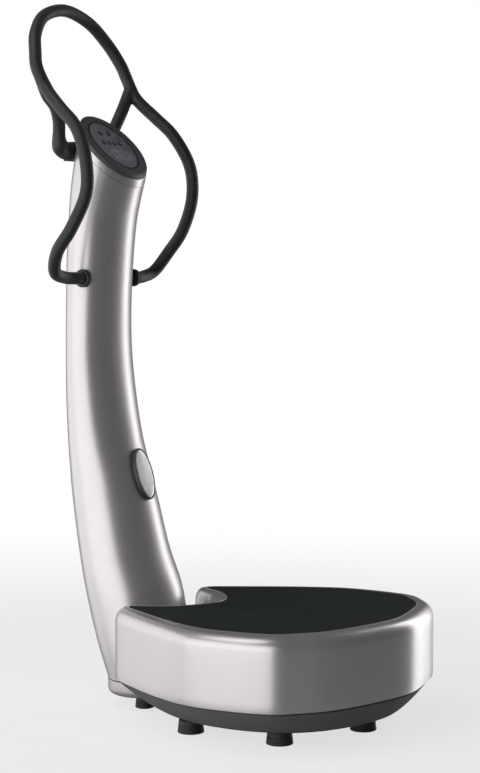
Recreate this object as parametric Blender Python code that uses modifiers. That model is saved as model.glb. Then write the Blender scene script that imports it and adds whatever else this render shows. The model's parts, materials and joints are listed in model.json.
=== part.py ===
"""Vibration plate: a heart-shaped vibrating platform with a leaning column.

The column carries an inclined console and a looped foam handle. The frame of
the model is metres with +Z up. The origin is on the floor, under the middle of
the overall box. The user stands on the mat and faces +Y, towards the column.
"""

import math

import bmesh
import bpy
from mathutils import Matrix, Vector

# --- Overall sizes of the moving plate ---------------------------------------
PLATE_WIDTH = 0.686
PLATE_LENGTH = 0.614
PLATE_FRONT_Y = -0.442

# --- Stack of heights, from the floor up -------------------------------------
FOOT_HEIGHT = 0.0284
PAN_DEPTH = 0.0546
COVER_LIFT = 0.0045
COVER_HEIGHT = 0.1520
MAT_THICKNESS = 0.0060
MAT_PROUD = 0.0010
SHELL_WALL = 0.0030
PAN_WALL = 0.0030
CHASSIS_THICKNESS = 0.0080
DECK_THICKNESS = 0.0120
GAP = 0.0003

# --- Cover shape -------------------------------------------------------------
SHOULDER_HEIGHT = 0.0295
SHOULDER_SHARE = 0.70
PAN_RIM_INSET = 0.0060
OUTLINE_STEPS = 3

# --- Feet --------------------------------------------------------------------
FOOT_DIAMETER = 0.0560
REAR_FOOT_DIAMETER = 0.0420
FOOT_TAPER = 0.0030
FOOT_EDGE = 0.0030
FOOT_PLACES = {
    "front": (0.0, -0.335),
    "front_left": (-0.200, -0.250),
    "front_right": (0.200, -0.250),
    "middle_left": (-0.205, -0.040),
    "middle_right": (0.205, -0.040),
    "rear_left": (-0.052, 0.178),
    "rear_right": (0.052, 0.178),
}
PLUG_DIAMETER = 0.0100
PLUG_CLEARANCE = 0.0005

# --- Frame and drive ---------------------------------------------------------
TONGUE_WIDTH = 0.1400
TONGUE_REAR_Y = 0.225
RAIL_SPREAD = 0.150
RAIL_WIDTH = 0.0500
RAIL_HEIGHT = 0.0500
RAIL_WALL = 0.0040
RAIL_FRONT_Y = PLATE_FRONT_Y + 0.272 * PLATE_LENGTH
RAIL_REAR_Y = PLATE_FRONT_Y + 0.728 * PLATE_LENGTH
ISOLATOR_DIAMETER = 0.0460
ISOLATOR_HEIGHT = 0.0600
ISOLATOR_INSET = 0.0300
ISOLATOR_WAIST = 0.82
DECK_WIDTH = 0.4300
DECK_FRONT_Y = PLATE_FRONT_Y + 0.166 * PLATE_LENGTH
DECK_REAR_Y = PLATE_FRONT_Y + 0.723 * PLATE_LENGTH
DECK_CORNER = 0.0600
WEB_WIDTH = 0.0440
MOTOR_SPREAD = 0.0750
MOTOR_Y = -0.150
MOTOR_DIAMETER = 0.0880
MOTOR_LENGTH = 0.1300
SADDLE_HEIGHT = 0.0180
SADDLE_WIDTH = 0.0500
SHAFT_DIAMETER = 0.0200
SHAFT_CLEARANCE = 0.0010
WEIGHT_RADIUS = 0.0400
WEIGHT_THICKNESS = 0.0240
WEIGHT_SETBACK = 0.0040
DRIVE_BOX = (0.1700, 0.1500, 0.0360)

# --- Column ------------------------------------------------------------------
COLUMN_WALL = 0.0030
COLUMN_SIDES = 36
COLUMN_STEPS = 1
REAR_COVER_ANGLE = math.radians(38.0)
REAR_SEAM = 0.0012
SHOE_SEAM = 0.0020
POST_DIAMETER = 0.0600
POST_WALL = 0.0040
POST_TOP_Z = 0.900
FLANGE_THICKNESS = 0.0100
FLANGE_SIZE = (0.1200, 0.0900)
BADGE_HALF_WIDTH = 0.0290
BADGE_HALF_LENGTH = 0.0545
BADGE_THICKNESS = 0.0060
BADGE_RING_WIDTH = 0.0035
BADGE_Z = 0.506

# Front line, rear line and half-width of the column's oval section:
# ((front y, front z), (rear y, rear z), half-width).
COLUMN_STATIONS = (
    ((0.098, 0.064), (0.283, 0.064), 0.112),
    ((0.118, 0.150), (0.3135, 0.150), 0.116),
    ((0.138, 0.254), (0.342, 0.254), 0.118),
    ((0.172, 0.342), (0.360, 0.342), 0.1125),
    ((0.1985, 0.440), (0.3765, 0.440), 0.1066),
    ((0.217, 0.506), (0.385, 0.506), 0.1017),
    ((0.242, 0.587), (0.390, 0.587), 0.0995),
    ((0.2605, 0.685), (0.3935, 0.685), 0.0965),
    ((0.2710, 0.782), (0.394, 0.782), 0.0935),
    ((0.2710, 0.880), (0.394, 0.880), 0.0915),
    ((0.2650, 0.978), (0.392, 0.978), 0.0918),
    ((0.2565, 1.055), (0.3865, 1.066), 0.0925),
    ((0.2455, 1.100), (0.3785, 1.155), 0.0930),
)

# --- Console -----------------------------------------------------------------
CONSOLE_TILT = math.radians(47.0)
CONSOLE_CENTRE = (0.2905, 1.2310)
CONSOLE_HALF_WIDTH = 0.0930
CONSOLE_HALF_LENGTH = 0.0915
CONSOLE_LEAN = math.radians(11.0)
RIM_HEIGHT = 0.0110
HOUSING_HEIGHT = 0.0180
SEAM_TRIM = 0.0040
LENS_HALF_WIDTH = 0.0675
LENS_HALF_LENGTH = 0.0725
LENS_THICKNESS = 0.0030
LENS_RECESS = 0.0010
BUTTON_DIAMETER = 0.0120
BUTTON_HEIGHT = 0.0100
BUTTON_PROUD = 0.0012
BUTTON_TRAVEL = 0.0010
BUTTON_CLEARANCE = 0.0005
BUTTON_PLACES = {
    "start": (-0.0300, 0.0060),
    "stop": (-0.0100, 0.0060),
    "time": (0.0100, 0.0060),
    "level": (0.0300, 0.0060),
    "down": (-0.0150, 0.0360),
    "up": (0.0150, 0.0360),
}
LCD_SIZE = (0.0640, 0.0320, 0.0030)
LCD_OFFSET = -0.0290
BOARD_SIZE = (0.0900, 0.1000, 0.0016)

# --- Mains panel at the back of the column's foot ----------------------------
PANEL_SIZE = (0.0760, 0.0030, 0.0560)
PANEL_MARGIN = 0.0050
PANEL_Y = 0.2790
PANEL_Z = 0.1120
INLET_SIZE = (0.0280, 0.0200, 0.0200)
INLET_WALL = 0.0025
INLET_X = -0.0150
SWITCH_SIZE = (0.0140, 0.0100, 0.0220)
SWITCH_X = 0.0190
SWITCH_CLEARANCE = 0.0010
SWITCH_THROW = math.radians(16.0)

# --- Handle ------------------------------------------------------------------
FOAM_DIAMETER = 0.0280
TUBE_DIAMETER = 0.0200
TUBE_WALL = 0.0025
COLLAR_DIAMETER = 0.0390
COLLAR_LENGTH = 0.0120
ELBOW_DIAMETER = 0.0380
TUBE_SIDES = 8
TUBE_STEPS = 2
HANDLE_INSIDE_X = 0.0400
BRACKET_SIZE = (0.0640, 0.0290, 0.0420)
BRACKET_Y = 0.3900
BRACKET_Z = 1.2180

# Right half of the handle, from the column's side up to the top of the hoop.
GRIP_START = (0.307, 0.938)
GRIP_STUB = 0.0080
GRIP_POINTS = (
    (0.150, 0.316, 0.940),
    (0.192, 0.312, 0.953),
    (0.215, 0.288, 0.996),
    (0.216, 0.250, 1.046),
    (0.207, 0.219, 1.118),
    (0.203, 0.2225, 1.190),
    (0.189, 0.2560, 1.257),
    (0.1825, 0.3000, 1.299),
    (0.1745, 0.3350, 1.331),
    (0.1705, 0.3510, 1.350),
    (0.1710, 0.3640, 1.372),
)
HOOP_POINTS = (
    (0.1710, 0.3640, 1.372),
    (0.1700, 0.3750, 1.396),
    (0.1610, 0.3840, 1.424),
    (0.136, 0.402, 1.468),
    (0.084, 0.417, 1.5120),
    (0.000, 0.422, 1.5320),
)
SUPPORT_POINTS = (
    (0.1712, 0.3625, 1.369),
    (0.1480, 0.3622, 1.333),
    (0.1260, 0.3575, 1.310),
    (0.1095, 0.3605, 1.283),
    (0.1005, 0.3660, 1.260),
    (0.1000, 0.3670, 1.243),
)
ELBOW_POINTS = (
    (0.106, 0.366, 1.2225),
    (0.080, 0.374, 1.2222),
    (0.058, 0.386, 1.2200),
    (0.044, 0.390, 1.2180),
)

# Right half of the cover's outline as shares of the half-width and the length,
# with the width in metres of the silver border that shows round the mat there.
COVER_OUTLINE = (
    (0.000, 0.798, 0.0320),
    (0.131, 0.821, 0.0320),
    (0.248, 0.875, 0.0300),
    (0.315, 0.930, 0.0265),
    (0.376, 0.981, 0.0240),
    (0.452, 1.000, 0.0250),
    (0.548, 0.982, 0.0300),
    (0.662, 0.894, 0.0350),
    (0.860, 0.707, 0.0390),
    (0.983, 0.539, 0.0410),
    (0.995, 0.379, 0.0420),
    (0.945, 0.236, 0.0420),
    (0.825, 0.160, 0.0400),
    (0.650, 0.090, 0.0370),
    (0.367, 0.036, 0.0365),
    (0.000, 0.000, 0.0370),
)
PAN_FLOOR_OUTLINE = (
    (0.000, 0.812),
    (0.140, 0.811),
    (0.280, 0.808),
    (0.370, 0.800),
    (0.440, 0.785),
    (0.500, 0.765),
    (0.560, 0.735),
    (0.630, 0.680),
    (0.690, 0.590),
    (0.714, 0.480),
    (0.700, 0.370),
    (0.640, 0.280),
    (0.560, 0.220),
    (0.440, 0.170),
    (0.240, 0.125),
    (0.000, 0.105),
)

# --- Heights that follow from the stack --------------------------------------
PAN_FLOOR_Z = FOOT_HEIGHT + PAN_WALL
PAN_TOP_Z = FOOT_HEIGHT + PAN_DEPTH
COVER_BOTTOM_Z = PAN_TOP_Z + COVER_LIFT
COVER_TOP_Z = COVER_BOTTOM_Z + COVER_HEIGHT
MAT_TOP_Z = COVER_TOP_Z + MAT_PROUD
WELL_Z = MAT_TOP_Z - MAT_THICKNESS - GAP
DECK_TOP_Z = WELL_Z - SHELL_WALL - GAP
DECK_BOTTOM_Z = DECK_TOP_Z - DECK_THICKNESS
CHASSIS_BOTTOM_Z = PAN_FLOOR_Z + GAP
CHASSIS_TOP_Z = CHASSIS_BOTTOM_Z + CHASSIS_THICKNESS
RAIL_TOP_Z = CHASSIS_TOP_Z + RAIL_HEIGHT
ISOLATOR_TOP_Z = RAIL_TOP_Z + GAP + ISOLATOR_HEIGHT
WEB_BOTTOM_Z = ISOLATOR_TOP_Z + GAP
MOTOR_AXIS_Z = DECK_BOTTOM_Z - GAP - SADDLE_HEIGHT - MOTOR_DIAMETER / 2

SILVER = (0.42, 0.41, 0.42)
SHOE_GREY = (0.30, 0.30, 0.31)
RUBBER = (0.012, 0.013, 0.014)
FOAM = (0.018, 0.021, 0.023)
PAN_GREY = (0.060, 0.063, 0.068)
STEEL = (0.50, 0.50, 0.51)


# --- Scene and materials -----------------------------------------------------
def clear_scene():
    """Remove every object that the new file starts with."""
    for obj in list(bpy.data.objects):
        bpy.data.objects.remove(obj, do_unlink=True)


def new_collection(name):
    """Return a collection of this name under the scene's own."""
    made = bpy.data.collections.new(name)
    bpy.context.scene.collection.children.link(made)
    return made


def material(name, colour, roughness=0.5, metallic=0.0):
    """Return a Principled material with a plain colour."""
    made = bpy.data.materials.new(name)
    made.use_nodes = True
    shader = made.node_tree.nodes["Principled BSDF"]
    shader.inputs["Base Color"].default_value = (*colour, 1.0)
    shader.inputs["Roughness"].default_value = roughness
    shader.inputs["Metallic"].default_value = metallic
    return made


def add_part(name, data, finish):
    """Link an object for this mesh or curve, with a material of its own."""
    obj = bpy.data.objects.new(name, data)
    PARTS.objects.link(obj)
    data.materials.append(material(name, *finish))
    return obj


def add_cutter(name, data):
    """Link a helper that only cuts other pieces."""
    obj = bpy.data.objects.new(name, data)
    CUTTERS.objects.link(obj)
    obj.hide_render = True
    obj.display_type = "WIRE"
    return obj


def combine(obj, other, operation):
    """Add a Boolean modifier to the object."""
    modifier = obj.modifiers.new(operation.title(), "BOOLEAN")
    modifier.operation = operation
    modifier.object = other
    return modifier


def solidify(obj, wall, offset=-1.0):
    """Give an open surface its wall, grown inwards by default."""
    modifier = obj.modifiers.new("Wall", "SOLIDIFY")
    modifier.thickness = wall
    modifier.offset = offset
    modifier.use_even_offset = True
    return modifier


def bevel(obj, width, segments=2):
    """Round the sharp edges of the object."""
    modifier = obj.modifiers.new("Rounding", "BEVEL")
    modifier.width = width
    modifier.segments = segments
    modifier.limit_method = "ANGLE"
    modifier.angle_limit = math.radians(40.0)
    return modifier


# --- Basic shapes ------------------------------------------------------------
def box_mesh(size, centre=(0.0, 0.0, 0.0)):
    """Return a box of this size round its centre."""
    shape = bmesh.new()
    bmesh.ops.create_cube(shape, size=1.0)
    bmesh.ops.scale(shape, vec=Vector(size), verts=shape.verts)
    bmesh.ops.translate(shape, vec=Vector(centre), verts=shape.verts)
    return finished(shape)


def cylinder_mesh(diameter, length, sides=24, axis="Z"):
    """Return a capped cylinder round the origin, along the given axis."""
    shape = bmesh.new()
    turn = {"X": ("Y", 90.0), "Y": ("X", -90.0), "Z": ("Z", 0.0)}[axis]
    bmesh.ops.create_cone(
        shape,
        cap_ends=True,
        segments=sides,
        radius1=diameter / 2,
        radius2=diameter / 2,
        depth=length,
        matrix=Matrix.Rotation(math.radians(turn[1]), 4, turn[0]),
    )
    return finished(shape)


def turned_mesh(profile):
    """Return the open profile of a turned piece, as (radius, height) pairs."""
    shape = bmesh.new()
    rings = [shape.verts.new((radius, 0.0, height)) for radius, height in profile]
    for first, second in zip(rings, rings[1:]):
        shape.edges.new((first, second))
    return finished(shape)


def turn(obj, sides):
    """Spin a profile about its Z axis into a closed body."""
    modifier = obj.modifiers.new("Turn", "SCREW")
    modifier.steps = sides
    modifier.render_steps = sides
    modifier.use_merge_vertices = True
    modifier.merge_threshold = 0.00001
    return modifier


def finished(shape):
    """Turn a bmesh into a mesh."""
    mesh = bpy.data.meshes.new("shape")
    shape.to_mesh(mesh)
    shape.free()
    return mesh


def outline_curve(loops, thickness):
    """Return a flat plate: filled 2D outlines, extruded round their plane."""
    curve = bpy.data.curves.new("outline", "CURVE")
    curve.dimensions = "2D"
    curve.fill_mode = "BOTH"
    curve.extrude = thickness / 2
    for loop in loops:
        spline = curve.splines.new("POLY")
        spline.points.add(len(loop) - 1)
        for point, (x, y) in zip(spline.points, loop):
            point.co = (x, y, 0.0, 1.0)
        spline.use_cyclic_u = True
    return curve


def path_curve(points, diameter, capped):
    """Return a round tube or rod that follows the points."""
    curve = bpy.data.curves.new("path", "CURVE")
    curve.dimensions = "3D"
    curve.bevel_depth = diameter / 2
    curve.bevel_resolution = (TUBE_SIDES - 4) // 2
    curve.use_fill_caps = capped
    spline = curve.splines.new("POLY")
    spline.points.add(len(points) - 1)
    for point, place in zip(spline.points, points):
        point.co = (*place, 1.0)
    return curve


def as_mesh(obj, collection):
    """Replace a curve object by a welded mesh object of the same name."""
    graph = bpy.context.evaluated_depsgraph_get()
    bpy.context.view_layer.update()
    mesh = bpy.data.meshes.new_from_object(obj.evaluated_get(graph))
    shape = bmesh.new()
    shape.from_mesh(mesh)
    bmesh.ops.remove_doubles(shape, verts=shape.verts, dist=0.00001)
    bmesh.ops.recalc_face_normals(shape, faces=shape.faces)
    shape.to_mesh(mesh)
    shape.free()
    name = obj.name
    place = obj.matrix_world.copy()
    bpy.data.objects.remove(obj, do_unlink=True)
    made = bpy.data.objects.new(name, mesh)
    made.matrix_world = place
    collection.objects.link(made)
    return made


def as_cutter(obj):
    """Turn a curve helper into a mesh that can cut."""
    made = as_mesh(obj, CUTTERS)
    made.hide_render = True
    made.display_type = "WIRE"
    return made


def loft(rings, cap_first=False, cap_last=False, closed=True):
    """Skin rings of equal length with quads, with optional end faces."""
    shape = bmesh.new()
    rows = [[shape.verts.new(place) for place in ring] for ring in rings]
    count = len(rows[0])
    spans = count if closed else count - 1
    for low, high in zip(rows, rows[1:]):
        for i in range(spans):
            j = (i + 1) % count
            shape.faces.new((low[i], low[j], high[j], high[i]))
    if cap_first:
        shape.faces.new(list(reversed(rows[0])))
    if cap_last:
        shape.faces.new(rows[-1])
    return finished(shape)


# --- Curves through design points --------------------------------------------
def spline_point(before, start, end, after, t):
    """Return the centripetal-like cubic between start and end at t."""
    def blend(a, b, c, d):
        return 0.5 * (
            2.0 * b
            + (c - a) * t
            + (2.0 * a - 5.0 * b + 4.0 * c - d) * t * t
            + (3.0 * b - a - 3.0 * c + d) * t * t * t
        )

    return tuple(blend(*values) for values in zip(before, start, end, after))


def smooth_path(points, steps):
    """Return points of a smooth open path through the design points."""
    first = tuple(2 * a - b for a, b in zip(points[0], points[1]))
    last = tuple(2 * a - b for a, b in zip(points[-1], points[-2]))
    ends = [first, *points, last]
    path = []
    for i in range(len(points) - 1):
        for k in range(steps):
            path.append(spline_point(*ends[i : i + 4], k / steps))
    path.append(tuple(points[-1]))
    return path


def smooth_loop(half, steps):
    """Mirror a half outline over X = 0 and return the smooth closed loop."""
    mirrored = [(-place[0], *place[1:]) for place in reversed(half[1:-1])]
    ring = [*half, *mirrored]
    count = len(ring)
    loop = []
    for i in range(count):
        four = [ring[(i + k) % count] for k in (-1, 0, 1, 2)]
        for k in range(steps):
            loop.append(spline_point(*four, k / steps))
    return loop


def mirrored(points):
    """Return the same points on the other side of X = 0."""
    return [(-x, y, z) for x, y, z in points]


def scaled_outline(shares):
    """Turn shares of the plate's half-width and length into metres."""
    return [
        (
            across * PLATE_WIDTH / 2,
            PLATE_FRONT_Y + along * PLATE_LENGTH,
            *rest,
        )
        for across, along, *rest in shares
    ]


def inset_loop(loop, share, extra=0.0):
    """Move each point of the cover's loop inwards by a share of its border."""
    count = len(loop)
    moved = []
    for i, (x, y, border) in enumerate(loop):
        before = loop[i - 1]
        after = loop[(i + 1) % count]
        along = Vector((after[0] - before[0], after[1] - before[1]))
        inwards = Vector((along.y, -along.x)).normalized()
        step = border * share + extra
        moved.append((x + inwards.x * step, y + inwards.y * step))
    return moved


def at_height(loop, z):
    """Lift a flat loop to a height."""
    return [(place[0], place[1], z) for place in loop]


# --- Base --------------------------------------------------------------------
def plug_cutters():
    """Return one cutter for each foot's plug hole."""
    cutters = []
    for name, (x, y) in FOOT_PLACES.items():
        width = PLUG_DIAMETER + 2 * PLUG_CLEARANCE
        data = cylinder_mesh(width, CHASSIS_TOP_Z * 2, sides=16)
        cutter = add_cutter(f"cut_plug_{name}", data)
        cutter.location = (x, y, CHASSIS_TOP_Z)
        cutters.append(cutter)
    return cutters


def tongue_cutter():
    """Return the slot that lets the chassis pass from the pan to the shoe."""
    width = TONGUE_WIDTH + 2 * GAP
    height = CHASSIS_THICKNESS + 2 * GAP
    front, rear, _ = COLUMN_STATIONS[0]
    high = (front[0] + rear[0]) / 2
    low = max(y for _, y in scaled_outline(PAN_FLOOR_OUTLINE)) - 6 * PAN_WALL
    cutter = add_cutter("cut_tongue", box_mesh((width, high - low, height)))
    middle_z = CHASSIS_BOTTOM_Z + CHASSIS_THICKNESS / 2
    cutter.location = (0.0, (high + low) / 2, middle_z)
    return cutter


def build_pan(cover_loop, plug_holes, tongue):
    """Build the dark tub under the cover, flaring up to the cover's edge."""
    floor = smooth_loop(scaled_outline(PAN_FLOOR_OUTLINE), OUTLINE_STEPS)
    rim = inset_loop(cover_loop, 0.0, PAN_RIM_INSET)
    middle = [
        (a[0] * 0.42 + b[0] * 0.58, a[1] * 0.42 + b[1] * 0.58)
        for a, b in zip(floor, rim)
    ]
    rings = [
        at_height(floor, FOOT_HEIGHT),
        at_height(middle, FOOT_HEIGHT + PAN_DEPTH * 0.45),
        at_height(rim, PAN_TOP_Z),
    ]
    rings = [list(reversed(ring)) for ring in rings]
    obj = add_part("base_pan", loft(rings, cap_first=True), (PAN_GREY, 0.6))
    solidify(obj, PAN_WALL)
    for cutter in plug_holes:
        combine(obj, cutter, "DIFFERENCE")
    combine(obj, tongue, "DIFFERENCE")
    return obj


def build_chassis(plug_holes):
    """Build the steel plate that joins the feet, the drive and the column."""
    floor = smooth_loop(scaled_outline(PAN_FLOOR_OUTLINE), OUTLINE_STEPS)
    centre_y = sum(y for _, y in floor) / len(floor)
    inner = [(x * 0.955, centre_y + (y - centre_y) * 0.95) for x, y in floor]
    plate = outline_curve([inner], CHASSIS_THICKNESS)
    obj = add_part("chassis_plate", plate, (STEEL, 0.5, 1.0))
    obj.location.z = CHASSIS_BOTTOM_Z + CHASSIS_THICKNESS / 2
    obj = remade(obj)
    start = centre_y
    length = TONGUE_REAR_Y - start
    data = box_mesh((TONGUE_WIDTH, length, CHASSIS_THICKNESS))
    tongue = add_cutter("add_tongue", data)
    tongue.location = (0.0, start + length / 2, CHASSIS_BOTTOM_Z + CHASSIS_THICKNESS / 2)
    combine(obj, tongue, "UNION")
    add_rails(obj)
    for cutter in plug_holes:
        combine(obj, cutter, "DIFFERENCE")
    return obj


def remade(obj):
    """Turn a curve part into a mesh part with the same material."""
    finish = obj.data.materials[0]
    made = as_mesh(obj, PARTS)
    if not made.data.materials:
        made.data.materials.append(finish)
    return made


def build_feet():
    """Build the rubber feet, each with a plug through the chassis."""
    plug = PLUG_DIAMETER / 2
    for name, (x, y) in FOOT_PLACES.items():
        rear = name.startswith("rear")
        radius = (REAR_FOOT_DIAMETER if rear else FOOT_DIAMETER) / 2
        top = FOOT_HEIGHT - GAP
        profile = (
            (0.0, CHASSIS_TOP_Z),
            (plug, CHASSIS_TOP_Z),
            (plug, top),
            (radius - FOOT_TAPER, top),
            (radius, FOOT_EDGE),
            (radius - FOOT_EDGE, 0.0),
            (0.0, 0.0),
        )
        foot = add_part(f"foot_{name}", turned_mesh(profile), (RUBBER, 0.8))
        foot.location = (x, y, 0.0)
        turn(foot, 16)


def rail_centres():
    """Return the name, side and centre of each rail."""
    y = (RAIL_REAR_Y + RAIL_FRONT_Y) / 2
    z = CHASSIS_TOP_Z + RAIL_HEIGHT / 2
    return [
        ("left", -1, Vector((-RAIL_SPREAD, y, z))),
        ("right", 1, Vector((RAIL_SPREAD, y, z))),
    ]


def add_rails(chassis):
    """Weld the two hollow rails that carry the isolators to the chassis."""
    length = RAIL_REAR_Y - RAIL_FRONT_Y
    sink = CHASSIS_THICKNESS / 4
    bore = (RAIL_WIDTH - 2 * RAIL_WALL, length * 2, RAIL_HEIGHT - 2 * RAIL_WALL)
    for name, _, centre in rail_centres():
        size = (RAIL_WIDTH, length, RAIL_HEIGHT + sink)
        rail = add_cutter(f"add_rail_{name}", box_mesh(size))
        rail.location = centre - Vector((0.0, 0.0, sink / 2))
        combine(chassis, rail, "UNION")
        cutter = add_cutter(f"cut_rail_{name}", box_mesh(bore))
        cutter.location = centre
        combine(chassis, cutter, "DIFFERENCE")


def build_isolators():
    """Build the four waisted rubber mounts between the rails and the deck."""
    radius = ISOLATOR_DIAMETER / 2
    low = RAIL_TOP_Z + GAP
    lip = ISOLATOR_HEIGHT * 0.15
    profile = (
        (0.0, ISOLATOR_TOP_Z),
        (radius, ISOLATOR_TOP_Z),
        (radius, ISOLATOR_TOP_Z - lip),
        (radius * ISOLATOR_WAIST, low + ISOLATOR_HEIGHT / 2),
        (radius, low + lip),
        (radius, low),
        (0.0, low),
    )
    for name, _, centre in rail_centres():
        for y, place in (
            (RAIL_FRONT_Y + ISOLATOR_INSET, "front"),
            (RAIL_REAR_Y - ISOLATOR_INSET, "rear"),
        ):
            data = turned_mesh(profile)
            isolator = add_part(f"isolator_{place}_{name}", data, (RUBBER, 0.8))
            isolator.location = (centre.x, y, 0.0)
            turn(isolator, 12)


def build_drive_box():
    """Build the motor controller on the chassis, between the rails."""
    obj = add_part("motor_controller", box_mesh(DRIVE_BOX), (PAN_GREY, 0.5))
    obj.location = (0.0, MOTOR_Y, CHASSIS_TOP_Z + GAP + DRIVE_BOX[2] / 2)
    bevel(obj, 0.003, 1)


# --- Moving plate ------------------------------------------------------------
def build_cover(cover_loop):
    """Build the silver cover: wall, rounded shoulder, rim and mat well."""
    rings = [at_height(cover_loop, COVER_BOTTOM_Z)]
    base_z = COVER_TOP_Z - SHOULDER_HEIGHT
    for degrees in (0, 30, 60, 90):
        angle = math.radians(degrees)
        share = SHOULDER_SHARE * (1.0 - math.cos(angle))
        z = base_z + SHOULDER_HEIGHT * math.sin(angle)
        rings.append(at_height(inset_loop(cover_loop, share), z))
    rings.append(at_height(inset_loop(cover_loop, 1.0), COVER_TOP_Z))
    rings.append(at_height(inset_loop(cover_loop, 1.0, GAP), WELL_Z))
    rings = [list(reversed(ring)) for ring in rings]
    mesh = loft(rings, cap_last=True)
    obj = add_part("plate_cover", mesh, (SILVER, 0.35, 0.9))
    solidify(obj, SHELL_WALL)
    return obj


def build_mat(cover_loop):
    """Build the rubber mat in the cover's well."""
    outline = inset_loop(cover_loop, 1.0, 3 * GAP)
    obj = add_part("mat", outline_curve([outline], MAT_THICKNESS), (RUBBER, 0.85))
    obj.location.z = MAT_TOP_Z - MAT_THICKNESS / 2


def rounded_rectangle(low, high, radius, steps=5):
    """Return the loop of a rectangle with round corners."""
    loop = []
    corners = (
        (high[0] - radius, high[1] - radius, 0.0),
        (low[0] + radius, high[1] - radius, 90.0),
        (low[0] + radius, low[1] + radius, 180.0),
        (high[0] - radius, low[1] + radius, 270.0),
    )
    for x, y, start in corners:
        for k in range(steps + 1):
            angle = math.radians(start + 90.0 * k / steps)
            loop.append((x + radius * math.cos(angle), y + radius * math.sin(angle)))
    return loop


def build_deck():
    """Build the steel deck under the mat, with a web over each rail."""
    low = (-DECK_WIDTH / 2, DECK_FRONT_Y)
    high = (DECK_WIDTH / 2, DECK_REAR_Y)
    outline = rounded_rectangle(low, high, DECK_CORNER)
    obj = add_part("deck", outline_curve([outline], DECK_THICKNESS), (STEEL, 0.5, 1.0))
    obj.location.z = DECK_TOP_Z - DECK_THICKNESS / 2
    obj = remade(obj)
    top = DECK_BOTTOM_Z + DECK_THICKNESS / 2
    height = top - WEB_BOTTOM_Z
    length = RAIL_REAR_Y - RAIL_FRONT_Y
    for side, name in ((-1, "left"), (1, "right")):
        web = add_cutter(f"add_web_{name}", box_mesh((WEB_WIDTH, length, height)))
        centre_y = (RAIL_REAR_Y + RAIL_FRONT_Y) / 2
        web.location = (side * RAIL_SPREAD, centre_y, WEB_BOTTOM_Z + height / 2)
        combine(obj, web, "UNION")


def build_motor(side, name):
    """Build one vibration motor with its shaft and two half-disc weights."""
    x = side * MOTOR_SPREAD
    centre = Vector((x, MOTOR_Y, MOTOR_AXIS_Z))
    lay_down = Matrix.Translation(centre) @ Matrix.Rotation(math.radians(-90), 4, "X")
    half = MOTOR_LENGTH / 2
    outer = MOTOR_DIAMETER / 2
    bore = SHAFT_DIAMETER / 2 + SHAFT_CLEARANCE
    profile = (
        (bore, half),
        (outer - 0.006, half),
        (outer, half - 0.006),
        (outer, -half + 0.006),
        (outer - 0.006, -half),
        (bore, -half),
        (bore, half),
    )
    housing = add_part(f"motor_{name}", turned_mesh(profile), (PAN_GREY, 0.5))
    housing.matrix_world = lay_down
    turn(housing, 24)
    saddle_height = SADDLE_HEIGHT + outer / 2
    size = (SADDLE_WIDTH, MOTOR_LENGTH * 0.7, saddle_height)
    saddle = add_cutter(f"add_saddle_{name}", box_mesh(size))
    saddle.location = (x, MOTOR_Y, DECK_BOTTOM_Z - GAP - saddle_height / 2)
    combine(housing, saddle, "UNION")
    reach = half + WEIGHT_SETBACK + WEIGHT_THICKNESS + 0.004
    shaft_data = cylinder_mesh(SHAFT_DIAMETER, 2 * reach, 16, "Y")
    shaft = add_part(f"rotor_shaft_{name}", shaft_data, (STEEL, 0.3, 1.0))
    shaft.location = centre
    for way, place in ((-1, "front"), (1, "rear")):
        weight_name = f"eccentric_{place}_{name}"
        weight = add_part(weight_name, weight_curve(), (STEEL, 0.4, 1.0))
        y = way * (half + WEIGHT_SETBACK + WEIGHT_THICKNESS / 2)
        upright = Matrix.Rotation(math.radians(90), 4, "X")
        weight.matrix_world = Matrix.Translation(centre + Vector((0, y, 0))) @ upright


def weight_curve():
    """Return a half disc with a round hub and a hole for the shaft."""
    hub = SHAFT_DIAMETER / 2 + 0.006
    outer = []
    for k in range(13):
        angle = math.radians(180 + 180 * k / 12)
        outer.append((WEIGHT_RADIUS * math.cos(angle), WEIGHT_RADIUS * math.sin(angle)))
    for k in range(9):
        angle = math.radians(180 * k / 8)
        outer.append((hub * math.cos(angle), hub * math.sin(angle)))
    bore = SHAFT_DIAMETER / 2 + GAP
    hole = [
        (
            bore * math.cos(math.radians(360 * k / 16)),
            bore * math.sin(math.radians(360 * k / 16)),
        )
        for k in range(16)
    ]
    return outline_curve([outer, hole], WEIGHT_THICKNESS)


# --- Column ------------------------------------------------------------------
def console_frame(drop=0.0):
    """Return the console plane's matrix, moved down the column by a drop."""
    y, z = CONSOLE_CENTRE
    down = Vector((0.0, math.sin(CONSOLE_LEAN), -math.cos(CONSOLE_LEAN)))
    place = Vector((0.0, y, z)) + down * drop
    return Matrix.Translation(place) @ Matrix.Rotation(CONSOLE_TILT, 4, "X")


def console_station(drop):
    """Return the column station at the console plane moved down by a drop."""
    frame = console_frame(drop)
    front = frame @ Vector((0.0, -CONSOLE_HALF_LENGTH, 0.0))
    rear = frame @ Vector((0.0, CONSOLE_HALF_LENGTH, 0.0))
    return ((front.y, front.z), (rear.y, rear.z), CONSOLE_HALF_WIDTH)


def column_stations():
    """Return the smooth list of column stations from the shoe to the seam."""
    top = console_station(RIM_HEIGHT + HOUSING_HEIGHT - SEAM_TRIM)
    flat = [(*front, *rear, half) for front, rear, half in (*COLUMN_STATIONS, top)]
    return smooth_path(flat, COLUMN_STEPS)


def station_at(z):
    """Return (centre y, half depth, half width) of the column at a height."""
    flat = [(*front, *rear, half) for front, rear, half in COLUMN_STATIONS]
    path = smooth_path(flat, 12)
    near = min(path, key=lambda s: abs((s[1] + s[3]) / 2 - z))
    return ((near[0] + near[2]) / 2, (near[2] - near[0]) / 2, near[4])


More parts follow.
